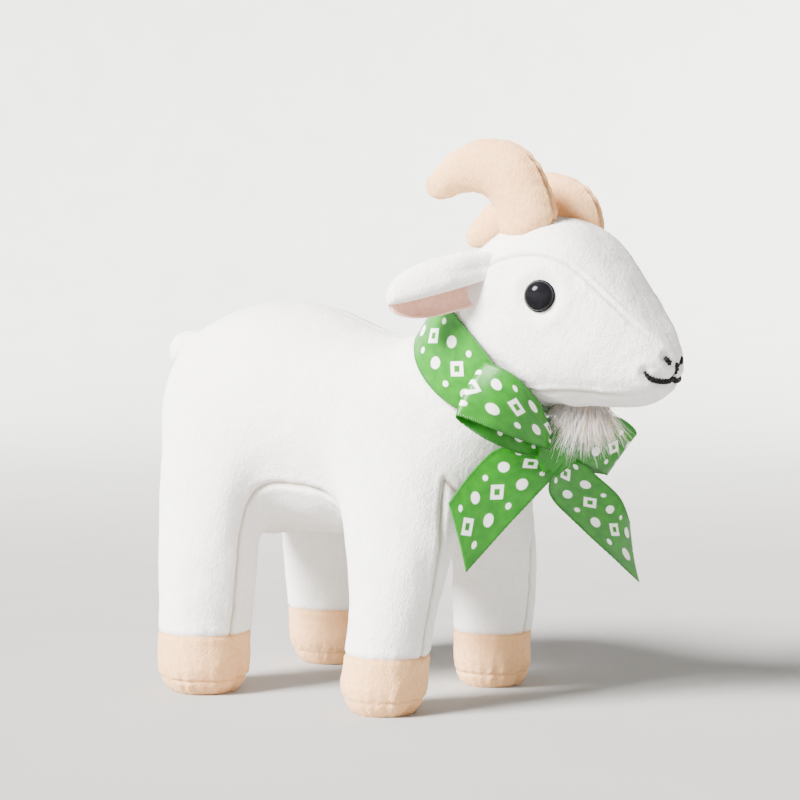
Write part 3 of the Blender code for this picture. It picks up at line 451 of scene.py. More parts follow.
class Surface:
    """A dense surface of quads: points, normals, faces and each face's panel."""

    def __init__(self, cage, levels):
        names = sorted(set(cage.tags))
        builder = bmesh.new()
        corners = [builder.verts.new(point) for point in cage.points]
        for face, tag in zip(cage.faces, cage.tags):
            builder.faces.new([corners[index] for index in face]).material_index = names.index(tag)
        bmesh.ops.recalc_face_normals(builder, faces=builder.faces)
        mesh = bpy.data.meshes.new("cage")
        builder.to_mesh(mesh)
        builder.free()
        for name in names:
            mesh.materials.append(None)
        guide = bpy.data.objects.new("cage", mesh)
        GOAT.objects.link(guide)
        subdivision = guide.modifiers.new("subdivision", "SUBSURF")
        subdivision.levels = levels
        bpy.context.view_layer.update()
        fine = bpy.data.meshes.new_from_object(guide.evaluated_get(bpy.context.evaluated_depsgraph_get()))
        self.points = read(fine.vertices, "co", 3)
        self.faces = read(fine.loops, "vertex_index", 1, np.int32).reshape(-1, 4)
        self.tags = np.array(names)[read(fine.polygons, "material_index", 1, np.int32)]
        # painted shade at each point, laid on by the seams and where the horns meet the head
        self.shade = np.zeros(len(self.points))
        bpy.data.objects.remove(guide, do_unlink=True)
        bpy.data.meshes.remove(fine)
        self.measure()

    def measure(self):
        """Work the normals out again from the points."""
        first, second, third, fourth = (self.points[self.faces[:, corner]] for corner in range(4))
        ways = np.cross(third - first, fourth - second)
        normals = np.zeros_like(self.points)
        for corner in range(4):
            np.add.at(normals, self.faces[:, corner], ways)
        self.normals = normals / np.maximum(np.linalg.norm(normals, axis=1), 1e-15)[:, None]

    def touching(self, tag):
        """Which points belong to a face of that panel."""
        found = np.zeros(len(self.points), bool)
        found[self.faces[self.tags == tag].ravel()] = True
        return found

    def seam(self, first, second):
        return self.points[self.touching(first) & self.touching(second)]

    def push(self, amounts):
        """Move the points along their normals by amounts in millimetres."""
        self.points = self.points + self.normals * (amounts * MM)[:, None]

    def sew(self, first, second, depth, width, ridge=0.0, pucker=0.0, pitch=2.4, reach=2.6, fade=1.0):
        """How far to push the points for a seam between two panels, and paint shade into the cloth along its
        groove.
        """
        seeds = self.seam(first, second)
        distance, which = nearest(self.points, seeds)
        # painted shade in the groove: the deeper the groove, the darker it is painted
        dark = np.exp(-(distance / (0.55 * width)) ** 2) * min(1.0, 1.3 * depth) * fade
        self.shade = np.maximum(self.shade, dark)
        amount = ridge * np.exp(-((distance - 2.2 * width) / width) ** 2)
        amount -= depth * np.exp(-(distance / width) ** 2)
        if pucker:
            creases = np.clip(ripple(seeds, pitch), -1.0, 1.0)
            amount += pucker * creases[which] * np.exp(-distance / reach) * np.minimum(distance, 1.0)
        return amount * fade

    def tree(self):
        return BVHTree.FromPolygons(self.points.tolist(), self.faces.tolist())

    def smooth(self, weights, rounds):
        """Relax the points towards their neighbours' middle, by a weight for each."""
        for _ in range(rounds):
            total = np.zeros_like(self.points)
            count = np.zeros(len(self.points))
            for corner in range(4):
                ends = self.faces[:, (corner + 1) % 4]
                np.add.at(total, self.faces[:, corner], self.points[ends])
                np.add.at(count, self.faces[:, corner], 1.0)
            self.points += (total / np.maximum(count, 1.0)[:, None] - self.points) * weights[:, None]


def nearest(points, seeds):
    """For each point, the distance to the nearest seed in millimetres, and which seed that is."""
    tree = KDTree(len(seeds))
    for number, seed in enumerate(seeds):
        tree.insert(seed, number)
    tree.balance()
    found = [tree.find(point)[1:] for point in points]
    which = np.array([index for index, distance in found])
    return np.array([distance for index, distance in found]) / MM, which


def ripple(points, pitch):
    """Smooth noise between about -1 and 1 at each point, with features of that pitch in millimetres."""
    scale = 1.0 / (pitch * MM)
    return 1.6 * np.array([noise.noise(Vector(point) * scale) for point in points])


LUMPS = ((0.42, 19.0), (0.13, 5.5), (0.05, 1.7))    # height and pitch of the fill's and pile's unevenness


def lumps(points):
    return sum(height * ripple(points, pitch) for height, pitch in LUMPS)


def bell(distance, width, middle=0.0):
    """1 at a distance of middle, falling smoothly to nothing over a few widths."""
    return np.exp(-((distance - middle) / width) ** 2)


def relax(row, rounds):
    """Smooth a row of values where it is, all but its two ends."""
    for _ in range(rounds):
        row[1:-1] = 0.5 * row[1:-1] + 0.25 * (row[:-2] + row[2:])


def finish_piece(name, mesh, material, body, node):
    """Link a mesh as a piece, give it its material, hide the CAD node that it replaces, and attach it to the
    body it rides on; a piece given two bodies to bend between is only set in place.
    """
    if not mesh.materials:
        mesh.materials.append(MATERIALS[material])
    mesh.shade_smooth()
    piece = bpy.data.objects.new(name, mesh)
    GOAT.objects.link(piece)
    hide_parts(node)
    if isinstance(body, str):
        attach(piece, body)
    else:
        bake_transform(piece)
    return piece


def new_mesh(name, points, faces):
    mesh = bpy.data.meshes.new(name)
    mesh.from_pydata(np.array(points).tolist(), [], faces if isinstance(faces, list) else faces.tolist())
    mesh.validate()
    mesh.update()
    return mesh


def face_outward(mesh):
    builder = bmesh.new()
    builder.from_mesh(mesh)
    bmesh.ops.recalc_face_normals(builder, faces=builder.faces)
    builder.to_mesh(mesh)
    builder.free()


def tube_faces(first, rings, sides):
    """The faces of a closed tube whose points begin at first and run ring after ring."""
    last = first + (rings - 1) * sides
    faces = [(low + side, low + (side + 1) % sides, low + sides + (side + 1) % sides, low + sides + side)
             for low in range(first, last, sides) for side in range(sides)]
    return faces + [tuple(range(first + sides - 1, first - 1, -1)), tuple(range(last, last + sides))]


def sheet_faces(rows, columns, closed=False):
    """The faces of a sheet of two layers of points, with walls along its open edges."""
    layer = rows * columns
    grid = np.arange(layer).reshape(rows, columns)
    above, below = (grid, np.roll(grid, -1, axis=0)) if closed else (grid[:-1], grid[1:])
    quads = np.stack((above[:, :-1], below[:, :-1], below[:, 1:], above[:, 1:]), axis=-1).reshape(-1, 4)
    edges = [(below[:, 0], above[:, 0]), (above[:, -1], below[:, -1])]
    if not closed:
        edges += [(grid[0, :-1], grid[0, 1:]), (grid[-1, 1:], grid[-1, :-1])]
    walls = [np.stack((start, end, end + layer, start + layer), axis=-1) for start, end in edges]
    return np.vstack([quads, quads[:, ::-1] + layer] + walls)


def panel(surface, tag, title, material, body, shown=True):
    """Make a cloth panel of a surface's faces of one tag; title names the CAD node that it replaces."""
    faces = surface.faces[(surface.tags == tag) & shown]
    used, faces = np.unique(faces, return_inverse=True)
    mesh = new_mesh("plush_" + title, surface.points[used], faces.reshape(-1, 4))
    # the painted seam shade goes with the panel as its seam attribute
    mesh.attributes.new("seam", "FLOAT", "POINT").data.foreach_set("value", surface.shade[used])
    finish_piece("plush_" + title, mesh, material, body, title)


FILL_RIPPLE = (0.35, 6.0)     # height and pitch
FILL_FLOOR = 1.4              # how far the fill stays above the table, inside the soles


def filling(title, node, cage, levels, depth, body):
    """The stuffing under a skin: the same form, drawn in and lumpy."""
    form = Surface(cage, levels)
    form.points[:, 2] = np.maximum(form.points[:, 2], 0.0)
    form.push(-depth + FILL_RIPPLE[0] * ripple(form.points, FILL_RIPPLE[1]))
    form.points[:, 2] = np.maximum(form.points[:, 2], FILL_FLOOR * MM)
    mesh = new_mesh("fibre_fill_" + title, form.points, form.faces)
    piece = finish_piece("fibre_fill_" + title, mesh, "stuffing", body, node)


# ---------------------------------------------------------------- the coarse cages

def full(value, power):
    return abs(value) ** power * (1 if value >= 0.0 else -1)


def oval_ring(back, belly, half_width, squareness=1.0, low_corner=60.0, high_corner=30.0):
    """Twelve points round the goat between a point on its back and one on its belly."""
    middle = ((back[0] + belly[0]) / 2, (back[1] + belly[1]) / 2)
    reach = ((back[0] - belly[0]) / 2, (back[1] - belly[1]) / 2)
    special = {5: -low_corner, 7: low_corner - 180.0, 2: high_corner, 10: 180.0 - high_corner}
    points = []
    for step in range(12):
        angle = radians(special.get(step, 90 - 30 * step))
        power = squareness if sin(angle) > 0.01 else 1.0
        up = full(sin(angle), power) * ROUND_12
        out = full(cos(angle), power) * ROUND_12
        points.append(place(half_width * out, middle[0] + reach[0] * up, middle[1] + reach[1] * up))
    return points


def leg_ring(sign, centre_x, forward, up, radius, turns):
    """Eight points round a leg, starting behind its outer side and running forward."""
    points = []
    for turn in turns:
        angle = radians(turn)
        out = centre_x + radius * ROUND_8 * cos(angle)
        points.append(place(sign * out, forward + radius * ROUND_8 * sin(angle), up))
    return points


# Where the points of a leg's ring stand, in degrees from its outer side; its front seam is at the fourth.
REAR_RING_TURNS = (-45, 0, 38, 72, 125, 180, 225, 270)
FRONT_RING_TURNS = (-45, 0, 45, 90, 135, 180, 225, 270)

LEGS = {
    "rear_left": (1, 1, REAR_HOOF, REAR_LEG_RADIUS, REAR_LEG_LEVELS),
    "rear_right": (-1, 1, REAR_HOOF, REAR_LEG_RADIUS, REAR_LEG_LEVELS),
    "front_left": (1, 5, FRONT_HOOF, FRONT_LEG_RADIUS, FRONT_LEG_LEVELS),
    "front_right": (-1, 5, FRONT_HOOF, FRONT_LEG_RADIUS, FRONT_LEG_LEVELS),
}


def side_name(side):
    return "side_left" if side < 6 else "side_right"


def body_cage():
    """The torso, legs and neck, with tags for the sides, the belly gusset, the hooves and the soles."""
    cage = Cage()
    rings = [cage.ring(oval_ring(*ring)) for ring in TORSO_RINGS]
    holes = set()
    for sign, first, hoof, radius, levels in LEGS.values():
        sides = (3, 4) if sign > 0 else (7, 8)
        holes.update((station, side) for station in (first, first + 1) for side in sides)
    gusset_sides = (4, 5, 6, 7)
    for station in range(len(rings) - 1):
        for side in range(12):
            if (station, side) in holes:
                continue
            after = (side + 1) % 12
            tag = "gusset" if 1 <= station < 7 and side in gusset_sides else side_name(side)
            corners = (rings[station][side], rings[station][after],
                       rings[station + 1][after], rings[station + 1][side])
            cage.face(corners, tag)
    cage.close(rings[0], place(*RUMP_POINT), side_name)
    cage.close(rings[-1], place(*NECK_END_POINT), lambda side: "neck_end")
    for name, (sign, first, hoof, radius, levels) in LEGS.items():
        outer, middle, inner = (3, 4, 5) if sign > 0 else (9, 8, 7)
        turns = REAR_RING_TURNS if first == 1 else FRONT_RING_TURNS
        top = [rings[first][outer], rings[first + 1][outer], rings[first + 2][outer],
               rings[first + 2][middle], rings[first + 2][inner], rings[first + 1][inner],
               rings[first][inner], rings[first][middle]]
        outside = "side_left" if sign > 0 else "side_right"
        for level, (up, share, shift_x, shift_forward) in enumerate(levels):
            centre_x, forward = hoof[0] + shift_x, hoof[1] + shift_forward
            ring = cage.ring(leg_ring(sign, centre_x, forward, up, radius * share, turns))
            if level < 2:
                cage.bridge(top, ring, lambda side: outside if side in (7, 0, 1, 2) else "gusset")
            elif level < 4:
                cage.bridge(top, ring, lambda side: "hoof_" + name)
            else:
                cage.bridge(top, ring, lambda side: "sole_" + name)
            top = ring
        centre = sum((cage.points[index] for index in top), Vector()) / len(top)
        cage.close(top, centre, lambda side: "sole_" + name)
    return cage


def head_cage():
    """The head, marked with its two sides, the forehead gusset and the chin gusset."""
    cage = Cage()
    rings = []
    for station, ring in enumerate(HEAD_RINGS):
        seam_height = {7: 38.0, 8: 55.0}.get(station, 30.0)
        rings.append(cage.ring(oval_ring(*ring, SKULL_SQUARENESS, CHIN_SEAM_ANGLE, seam_height)))

    def tag_at(station):
        def tag(side):
            if side in (10, 11, 0, 1) and station >= 1:
                return "forehead"
            if side in (5, 6) and station >= 1:
                return "chin"
            return side_name(side)
        return tag

    for station in range(len(rings) - 1):
        cage.bridge(rings[station], rings[station + 1], tag_at(station))
    cage.close(rings[0], place(*HEAD_BACK_POINT), lambda side: "neck_end")
    cage.close(rings[-1], place(*NOSE_POINT), side_name)
    return cage


def limb_cage(stations, root_tag, tag_of_side, tip):
    """A tapering limb closed at both ends; a station is a ring's middle, radius and two ways across."""
    cage = Cage()
    ring = None
    for middle, radius, over, across in stations:
        loop = cage.ring([middle + (over * cos(a) + across * sin(a)) * radius * ROUND_8 * MM
                          for a in (radians(45 * step) for step in range(8))])
        if ring:
            cage.bridge(ring, loop, tag_of_side)
        else:
            cage.close(loop, middle, root_tag)
        ring = loop
    cage.close(ring, tip, tag_of_side)
    return cage


def horn_cage(sign, spine):
    """A curved tapering horn in two halves that are joined along its front and its hollow side."""
    points = [place(sign * x, forward, up) for x, forward, up, radius in spine]
    stations = []
    for index, point in enumerate(points):
        along = (points[min(index + 1, len(points) - 1)] - points[max(index - 1, 0)]).normalized()
        side_way = X_WAY * sign
        across = (side_way - side_way.project(along)).normalized()
        stations.append((point, spine[index][3], along.cross(across), across * HORN_FLATNESS))
    tip = points[-1] + (points[-1] - points[-2]).normalized() * HORN_TIP * MM
    return limb_cage(stations, lambda side: "root", lambda side: "outer" if side < 4 else "inner", tip)


def tail_cage():
    """A short fat tail on a straight line, closed at both ends."""
    way = heading(*TAIL_TIP_WAY)
    over = way.cross(X_WAY).normalized()
    root = place(*TAIL_ROOT)
    across = X_WAY * TAIL_FLATNESS
    stations = [(root + way * along * MM, radius, over, across) for along, radius in TAIL_SECTIONS]

    def half(side):
        return "left" if side < 4 else "right"

    return limb_cage(stations, half, half, root + way * (TAIL_SECTIONS[-1][0] + TAIL_TIP) * MM)


# ---------------------------------------------------------------- the body

def mirror_place(sign, guide):
    """A place given for the goat's left, or the same place on its right where sign is -1."""
    return place(sign * guide[0], *guide[1:])


def along_neck(points):
    """How far each point is along the neck's line from its joint, in millimetres."""
    return (points - np.array(NECK_JOINT)) @ np.array(NECK_LINE) / MM


def goat_axes(points):
    """The x, forward and up columns of world points, in millimetres."""
    return points[:, 0] / MM, ORIGIN_Y - points[:, 1] / MM, points[:, 2] / MM


def band_squeeze(points):
    """The tied ribbon presses the neck in under itself and makes it swell beside its edges."""
    away = points - np.array(NECK_JOINT)
    along = along_neck(points)
    around = np.linalg.norm(away - np.outer(along * MM, NECK_LINE), axis=1) / MM
    near = np.clip((34.0 - around) / 6.0, 0.0, 1.0)
    inside = -0.7 / (1.0 + np.exp((np.abs(along) - RIBBON_MIDDLE + 0.6) / 0.5))
    swell = 0.55 * bell(np.abs(along) - RIBBON_MIDDLE, 2.0, 2.0)
    return (inside + swell) * near


# Seams: the groove's depth and width, the height of the ridge beside it, and how strongly, how closely and
# how far from the seam the cloth puckers.
BACK_SEAM = (0.28, 0.8, 0.06, 0.05)
BELLY_SEAM = (0.75, 0.9, 0.20, 0.30, 3.0, 4.0)
HOOF_SEAM = (0.35, 0.6, 0.05, 0.30, 2.2, 2.4)
SOLE_SEAM = (0.30, 0.6, 0.0, 0.85, 2.4, 3.2)
FOREHEAD_SEAM = (0.45, 0.55, 0.35, 0.12, 3.0, 3.0)
CHIN_SEAM = (0.70, 0.8, 0.32, 0.30, 3.0, 3.0)
NOSE_SEAM = (0.15, 0.7)
HORN_SEAM = (0.65, 0.65, 0.20, 0.55, 2.6, 2.2)
TAIL_SEAM = (0.35, 0.7, 0.12, 0.2)
TOE_CREASE = (0.9, 1.4)       # depth and width of the crease down the front of each hoof
LEG_FOLDS = (0.45, 5.5)       # height and pitch of the folds where the legs meet the belly
SIDE_TAGS = ("side_left", "side_right")


def shape_body():
    """The torso and legs with their seams, puckered hooves and the folds where the legs meet the belly."""
    skin = Surface(body_cage(), SKIN_LEVELS)
    x, forward, up = goat_axes(skin.points)
    skin.smooth(0.5 * np.clip((11.0 - up) / 4.0, 0.0, 1.0), 8)
    skin.measure()
    points = skin.points
    x, forward, up = goat_axes(points)
    amount = skin.sew(*SIDE_TAGS, *BACK_SEAM)
    for side in SIDE_TAGS:
        amount += skin.sew(side, "gusset", *BELLY_SEAM)
    for name, (sign, first, hoof, radius, levels) in LEGS.items():
        hoof_tag = "hoof_" + name
        for cloth in (SIDE_TAGS[sign < 0], "gusset"):
            amount += skin.sew(cloth, hoof_tag, *HOOF_SEAM)
        amount += skin.sew(hoof_tag, "sole_" + name, *SOLE_SEAM)
        off_toe = x - sign * (hoof[0] + 0.2)
        before_toe = forward - hoof[1] - radius
        low = np.clip((levels[1][0] - 3.0 - up) / 6.0, 0.0, 1.0)
        crease = bell(off_toe, TOE_CREASE[1]) * np.clip(before_toe + 6.0, 0.0, 4.0) / 4.0
        amount -= TOE_CREASE[0] * crease * low * (np.abs(off_toe) < 8.0) * (np.abs(before_toe) < 9.0)
    under_belly = bell(up, 9.0, 47.0) * np.clip((34.0 - np.abs(x)) / 10.0, 0.0, 1.0)
    amount += LEG_FOLDS[0] * ripple(points * (1.0, 1.0, 0.35), LEG_FOLDS[1]) * under_belly
    amount += lumps(points) * np.clip(up / 6.0, 0.25, 1.0)
    amount += band_squeeze(points)
    skin.push(amount)
    skin.points[:, 2] = np.maximum(skin.points[:, 2], 0.0)
    skin.measure()
    return skin


def make_body(skin):
    middles = skin.points[skin.faces].mean(axis=1)
    below_head = (along_neck(middles) < 6.0) | (middles[:, 2] < 80 * MM)
    for side in SIDE_TAGS:
        panel(skin, side, "body_" + side, "white_plush", "root", below_head)
    panel(skin, "gusset", "belly_gusset", "white_plush", "root")
    for name in LEGS:
        panel(skin, "hoof_" + name, "hoof_cover_" + name, "peach_plush", "root")
        panel(skin, "sole_" + name, "hoof_sole_" + name, "peach_plush", "root")
    filling("body", "body_stuffing", body_cage(), 2, 2.6, "root")


# ---------------------------------------------------------------- the head

def smooth_row(row, samples):
    """Points on a smooth curve through a row of points (Catmull-Rom)."""
    result = []
    count = len(row) - 1
    for number in range(count * samples + 1):
        index = min(number // samples, count - 1)
        share = number / samples - index
        before = row[max(index - 1, 0)]
        start, end = row[index], row[index + 1]
        after = row[min(index + 2, count)]
        bend = 2 * start + (end - before) * share
        bend += (2 * before - 5 * start + 4 * end - after) * share ** 2
        bend += (3 * start - before - 3 * end + after) * share ** 3
        result.append(0.5 * bend)
    return result


def mirrored(guide):
    return tuple((-x, forward, up) for x, forward, up in guide)


STITCHES = {
    "nostril_stitch_left": NOSTRIL_GUIDE,
    "nostril_stitch_right": mirrored(NOSTRIL_GUIDE),
    "lip_stitch": LIP_GUIDE,
    "mouth_stitch": MOUTH_GUIDE + mirrored(MOUTH_GUIDE[-2::-1]),
}


def stitch_paths(tree):
    """Each stitch's path on the muzzle, as smooth places and the way out of the cloth at each."""
    paths = {}
    for name, guide in STITCHES.items():
        row = smooth_row([Vector(point) for point in guide], 12)
        found = [tree.find_nearest(place(*point))[:2] for point in row]
        places = np.array([point for point, way in found])
        ways = np.array([way for point, way in found])
        relax(places, 8)
        relax(ways, 8)
        ways /= np.linalg.norm(ways, axis=1)[:, None]
        paths[name] = [(Vector(point), Vector(way)) for point, way in zip(places, ways)]
    return paths


SOCKET = (1.1, 5.6)           # depth and radius of the hollow that each eye sits in
SOCKET_RIM = (0.35, 1.8, 7.6)  # height, width and radius of the swelling round it
STITCH_DENT = (0.75, 1.3)     # depth and half width of the dent under the embroidery
STITCH_RIM = (0.25, 1.2, 2.4)  # height, width and distance of the cloth that swells beside it


def shape_head():
    """The head with its seams, the sockets of its eyes and the dents under its embroidery."""
    skin = Surface(head_cage(), SKIN_LEVELS)
    points = skin.points
    skin.stitches = stitch_paths(skin.tree())
    amount = lumps(points)
    x, forward, up = goat_axes(points)
    for side in SIDE_TAGS:
        fade = np.clip((106.0 - forward) / 9.0, 0.05, 1.0)
        amount += skin.sew("forehead", side, *FOREHEAD_SEAM, fade)
        fade = np.clip((103.0 - forward) / 10.0, 0.15, 1.0)
        amount += skin.sew("chin", side, *CHIN_SEAM, fade)
    amount += skin.sew(*SIDE_TAGS, *NOSE_SEAM)
    for sign in SIDES.values():
        middle = np.array(mirror_place(sign, EYE_PLACE))
        distance = np.linalg.norm(points - middle, axis=1) / MM
        amount -= SOCKET[0] * np.exp(-(distance / SOCKET[1]) ** 4)
        amount += SOCKET_RIM[0] * bell(distance, *SOCKET_RIM[1:])
    for path in skin.stitches.values():
        distance, which = nearest(points, np.array([point for point, way in path]))
        amount -= STITCH_DENT[0] * bell(distance, STITCH_DENT[1])
        amount += STITCH_RIM[0] * bell(distance, *STITCH_RIM[1:])
    amount += band_squeeze(points)
    skin.push(amount)
    skin.measure()
    return skin


HEAD_BEND = ("root", "head", NECK_JOINT, NECK_JOINT + NECK_LINE * 10 * MM)


def make_head(skin):
    for title, tag in (("head_side_left", "side_left"), ("head_side_right", "side_right"),
                       ("forehead_gusset", "forehead"), ("chin_gusset", "chin")):
        panel(skin, tag, title, "white_plush", HEAD_BEND)
    filling("head", "head_stuffing", head_cage(), 3, 2.6, HEAD_BEND)


FLOSS_RADIUS = 0.75
FLOSS_LIFT = 0.35             # how far the floss's middle lies over the cloth
FLOSS_TURNS = 0.45            # twists in a millimetre
FLOSS_PLIES = 2
PLY_OFFSET = 0.38             # a ply's distance from the floss's middle, as a share of the floss's radius
PLY_SHARE = 0.75              # a ply's own radius, as a share of it
FLOSS_SIDES = 8


def rope(name, path, node):
    """Floss laid along a path of (point, normal): plies twisted round each other, with rounded ends."""
    count = len(path)
    run = 0.0
    plies = [[] for _ in range(FLOSS_PLIES)]
    for index, (point, way) in enumerate(path):
        along = (path[min(index + 1, count - 1)][0] - path[max(index - 1, 0)][0]).normalized()
        across = along.cross(way).normalized()
        if index:
            run += (point - path[index - 1][0]).length / MM
        share = index / (count - 1)
        swell = max(0.25, min(1.0, 6.0 * share, 6.0 * (1.0 - share))) ** 0.5
        for number, ply in enumerate(plies):
            turn = 2 * pi * (run * FLOSS_TURNS + number / FLOSS_PLIES)
            middle = point + (across * cos(turn) + way * sin(turn)) * FLOSS_RADIUS * PLY_OFFSET * MM
            radius = FLOSS_RADIUS * PLY_SHARE * swell
            for side in range(FLOSS_SIDES):
                angle = 2 * pi * side / FLOSS_SIDES
                ply.append(middle + (across * cos(angle) + way * sin(angle)) * radius * MM)
    faces = [face for number in range(FLOSS_PLIES)
             for face in tube_faces(number * count * FLOSS_SIDES, count, FLOSS_SIDES)]
    finish_piece(name, new_mesh(name, sum(plies, []), faces), "black_thread", "head", node)


def make_stitches(skin):
    tree = skin.tree()
    for name, path in skin.stitches.items():
        heights = np.array([(tree.ray_cast(point + way * 4 * MM, -way)[0] - point).dot(way) / MM
                            for point, way in path])
        relax(heights, 12)
        laid = [(point + way * (height + FLOSS_LIFT) * MM, way)
                for (point, way), height in zip(path, heights)]
        rope("floss_" + name, laid, name)


def lathe(name, profile, steps, location, way):
    """A closed turned mesh from a profile of (radius, height), with its axis along way."""
    turn = way.to_track_quat("Z", "Y").to_matrix()
    rows = len(profile)
    builder = bmesh.new()
    corners = []
    for step in range(steps):
        angle = 2 * pi * step / steps
        for radius, height in profile:
            corner = location + turn @ Vector((radius * cos(angle), radius * sin(angle), height)) * MM
            corners.append(builder.verts.new(corner))
    for step in range(steps):
        here, after = step * rows, (step + 1) % steps * rows
        for row in range(rows - 1):
            builder.faces.new([corners[index] for index in
                               (here + row, here + row + 1, after + row + 1, after + row)])
    bmesh.ops.remove_doubles(builder, verts=builder.verts, dist=1e-6)
    bmesh.ops.recalc_face_normals(builder, faces=builder.faces)
    mesh = bpy.data.meshes.new(name)
    builder.to_mesh(mesh)
    builder.free()
    return mesh


# The eye's profile, as (radius, height). The dome's and rim's radii are shares of the eye's.
EYE_DOME = [(0.93 * sin(radians(a)), 0.55 + 2.3 * cos(radians(a))) for a in range(0, 91, 6)]
EYE_RIM = [(0.955, 0.42), (0.985, 0.40), (1.0, 0.25), (1.0, 0.0), (0.95, -0.2)]
EYE_SHANK = [(1.6, -0.3), (1.3, -0.6), (1.3, -6.0), (0.0, -6.0)]


def make_eyes(skin):
    """Domed button eyes with a thin turned rim, their shanks running into the head."""
    tree = skin.tree()
    profile = [(EYE_RADIUS * share, height) for share, height in EYE_DOME + EYE_RIM] + EYE_SHANK
    for name, sign in SIDES.items():
        surface, way, _, _ = tree.find_nearest(mirror_place(sign, EYE_PLACE))
        mesh = lathe("eye_" + name, profile, 64, surface + way * 0.25 * MM, way)
        finish_piece("button_eye_" + name, mesh, "black_gloss", "head", "eye_" + name)


# ---------------------------------------------------------------- horns, ears and tail

def signed_depth(points, tree):
    """How far each point is outside a closed surface, in millimetres."""
    found = []
    for point in points:
        nearest_point, way, _, _ = tree.find_nearest(point)
        found.append((Vector(point) - nearest_point).dot(way) / MM)
    return np.array(found)


def make_horns(head_tree):
    """The horns, gathered where they are sewn into the head."""
    for name, sign in SIDES.items():
        cage = horn_cage(sign, HORN_SPINES[name])
        skin = Surface(cage, 4)
        points = skin.points
        outside = signed_depth(points, head_tree)
        amount = skin.sew("outer", "inner", *HORN_SEAM)
        amount += 0.14 * ripple(points, 8.0) + 0.05 * ripple(points, 2.0)
        amount -= 0.75 * bell(outside, 1.3)
        # painted shade in the crease where the horn goes into the head
        skin.shade = np.maximum(skin.shade, 0.7 * bell(outside, 0.7))
        amount += 0.30 * ripple(points * (1.0, 1.0, 0.2), 2.6) * bell(outside, 2.6)
        skin.push(amount)
        skin.measure()
        shown = outside[skin.faces].max(axis=1) >= -2.0
        for half in ("outer", "inner"):
            panel(skin, half, "horn_%s_%s_half" % (name, half), "peach_plush", "head", shown)
        filling("horn_" + name, "horn_%s_stuffing" % name, cage, 2, 1.9, "head")


def ear_directions(sign):
    along = heading(sign * EAR_TIP_WAY[0], *EAR_TIP_WAY[1:])
    facing = heading(sign * EAR_FACING[0], *EAR_FACING[1:])
    facing = (facing - facing.project(along)).normalized()
    above = along.cross(facing)
    return along, facing, above if above.z > 0.0 else -above


EAR_ROWS = 56
EAR_COLUMNS = 72
EAR_START = -0.34             # the root's end, inside the head, as a share of the ear's length


def ear_point(sign, reach, turn, depth):
    """A point of the folded leaf: reach along it, turn (0 to 1) round its fold, depth in from its face."""
    along, facing, above = ear_directions(sign)
    rounding = sqrt(max(1.0 - max(reach, 0.0) ** 3.2, 0.012))
    least = 0.62 if turn > 0.4 else 0.92
    gather = least + (1.0 - least) * min(1.0, max(0.0, (reach - EAR_START) / 0.40)) ** 0.7
    half_height = EAR_HALF_HEIGHT * (0.94 + 0.14 * max(reach, 0.0)) * gather * rounding
    angle = radians(EAR_ANGLES[0] + (EAR_ANGLES[1] - EAR_ANGLES[0]) * turn)
    thin = min(1.0, half_height / 5.0)
    rise = (half_height - depth * thin) * sin(angle)
    front = -(half_height * EAR_DEPTH_SHARE - depth * thin) * cos(angle)
    if front > 0.0:
        tuck = 0.55 * min(1.0, max(0.0, (0.28 - reach) / 0.40))
        front *= 1.0 - tuck * min(1.0, (1.0 - sin(angle)) / 0.6)
    centre = mirror_place(sign, EAR_ROOT)
    return centre + (along * EAR_LENGTH * reach + above * rise + facing * front) * MM


def ear_layer(side, layer, span, turns, depths, lip, creases, material):
    """One cloth layer of an ear as a closed folded sheet, puffed a little between its edges.

    span is the layer's start and end along the ear, turns its edges round the fold and depths its two faces;
    lip is how far its border turns in, and creases the height of its wrinkles.
    """
    title = "ear_%s_%s" % (side, layer)
    sign = SIDES[side]
    points = []
    for face in (0, 1):
        for row in range(EAR_ROWS):
            reach = span[0] + (span[1] - span[0]) * row / (EAR_ROWS - 1)
            tip = (1.0 - row / (EAR_ROWS - 1)) * 20.0
            for column in range(EAR_COLUMNS):
                share = column / (EAR_COLUMNS - 1)
                turn = turns[0] + (turns[1] - turns[0]) * share
                edge = min(share, 1.0 - share) * 13.0
                border = min(1.0, edge, tip)
                round_edge = sqrt(max(0.0, 1.0 - (1.0 - border) ** 2))
                depth = 0.5 * (depths[0] + depths[1]) + (1.0 - border) * lip
                half = 0.5 * (depths[1] - depths[0]) * (0.25 + 0.75 * round_edge)
                if face:
                    depth += half
                else:
                    depth -= half + 0.45 * (1.0 - (1.0 - min(1.0, 0.45 * edge)) ** 2)
                points.append(ear_point(sign, reach, turn, depth))
    points = np.array(points)
    along, facing, above = ear_directions(sign)
    stretched = points - 0.7 * np.outer(points @ np.array(along), along)
    wrinkles = 0.06 * ripple(points, 3.2) + creases * ripple(stretched, 4.5)
    points += np.outer(wrinkles * MM, facing)
    mesh = new_mesh(title, points, sheet_faces(EAR_ROWS, EAR_COLUMNS))
    face_outward(mesh)
    root = mirror_place(sign, EAR_ROOT)
    bend = ("head", "ear_" + side, root - along * 5 * MM, root + along * 3 * MM)
    finish_piece("plush_" + title, mesh, material, bend, title)


def make_ears():
    for side in SIDES:
        ear_layer(side, "outer", (EAR_START, 1.0), (0.05, 1.0), (0.0, 0.9), 0.55, 0.12, "white_plush")
        ear_layer(side, "inner", (EAR_START + 0.03, 0.965), (0.0, 0.965), (1.0, 1.8), -0.1, 0.40,
                  "pink_plush")


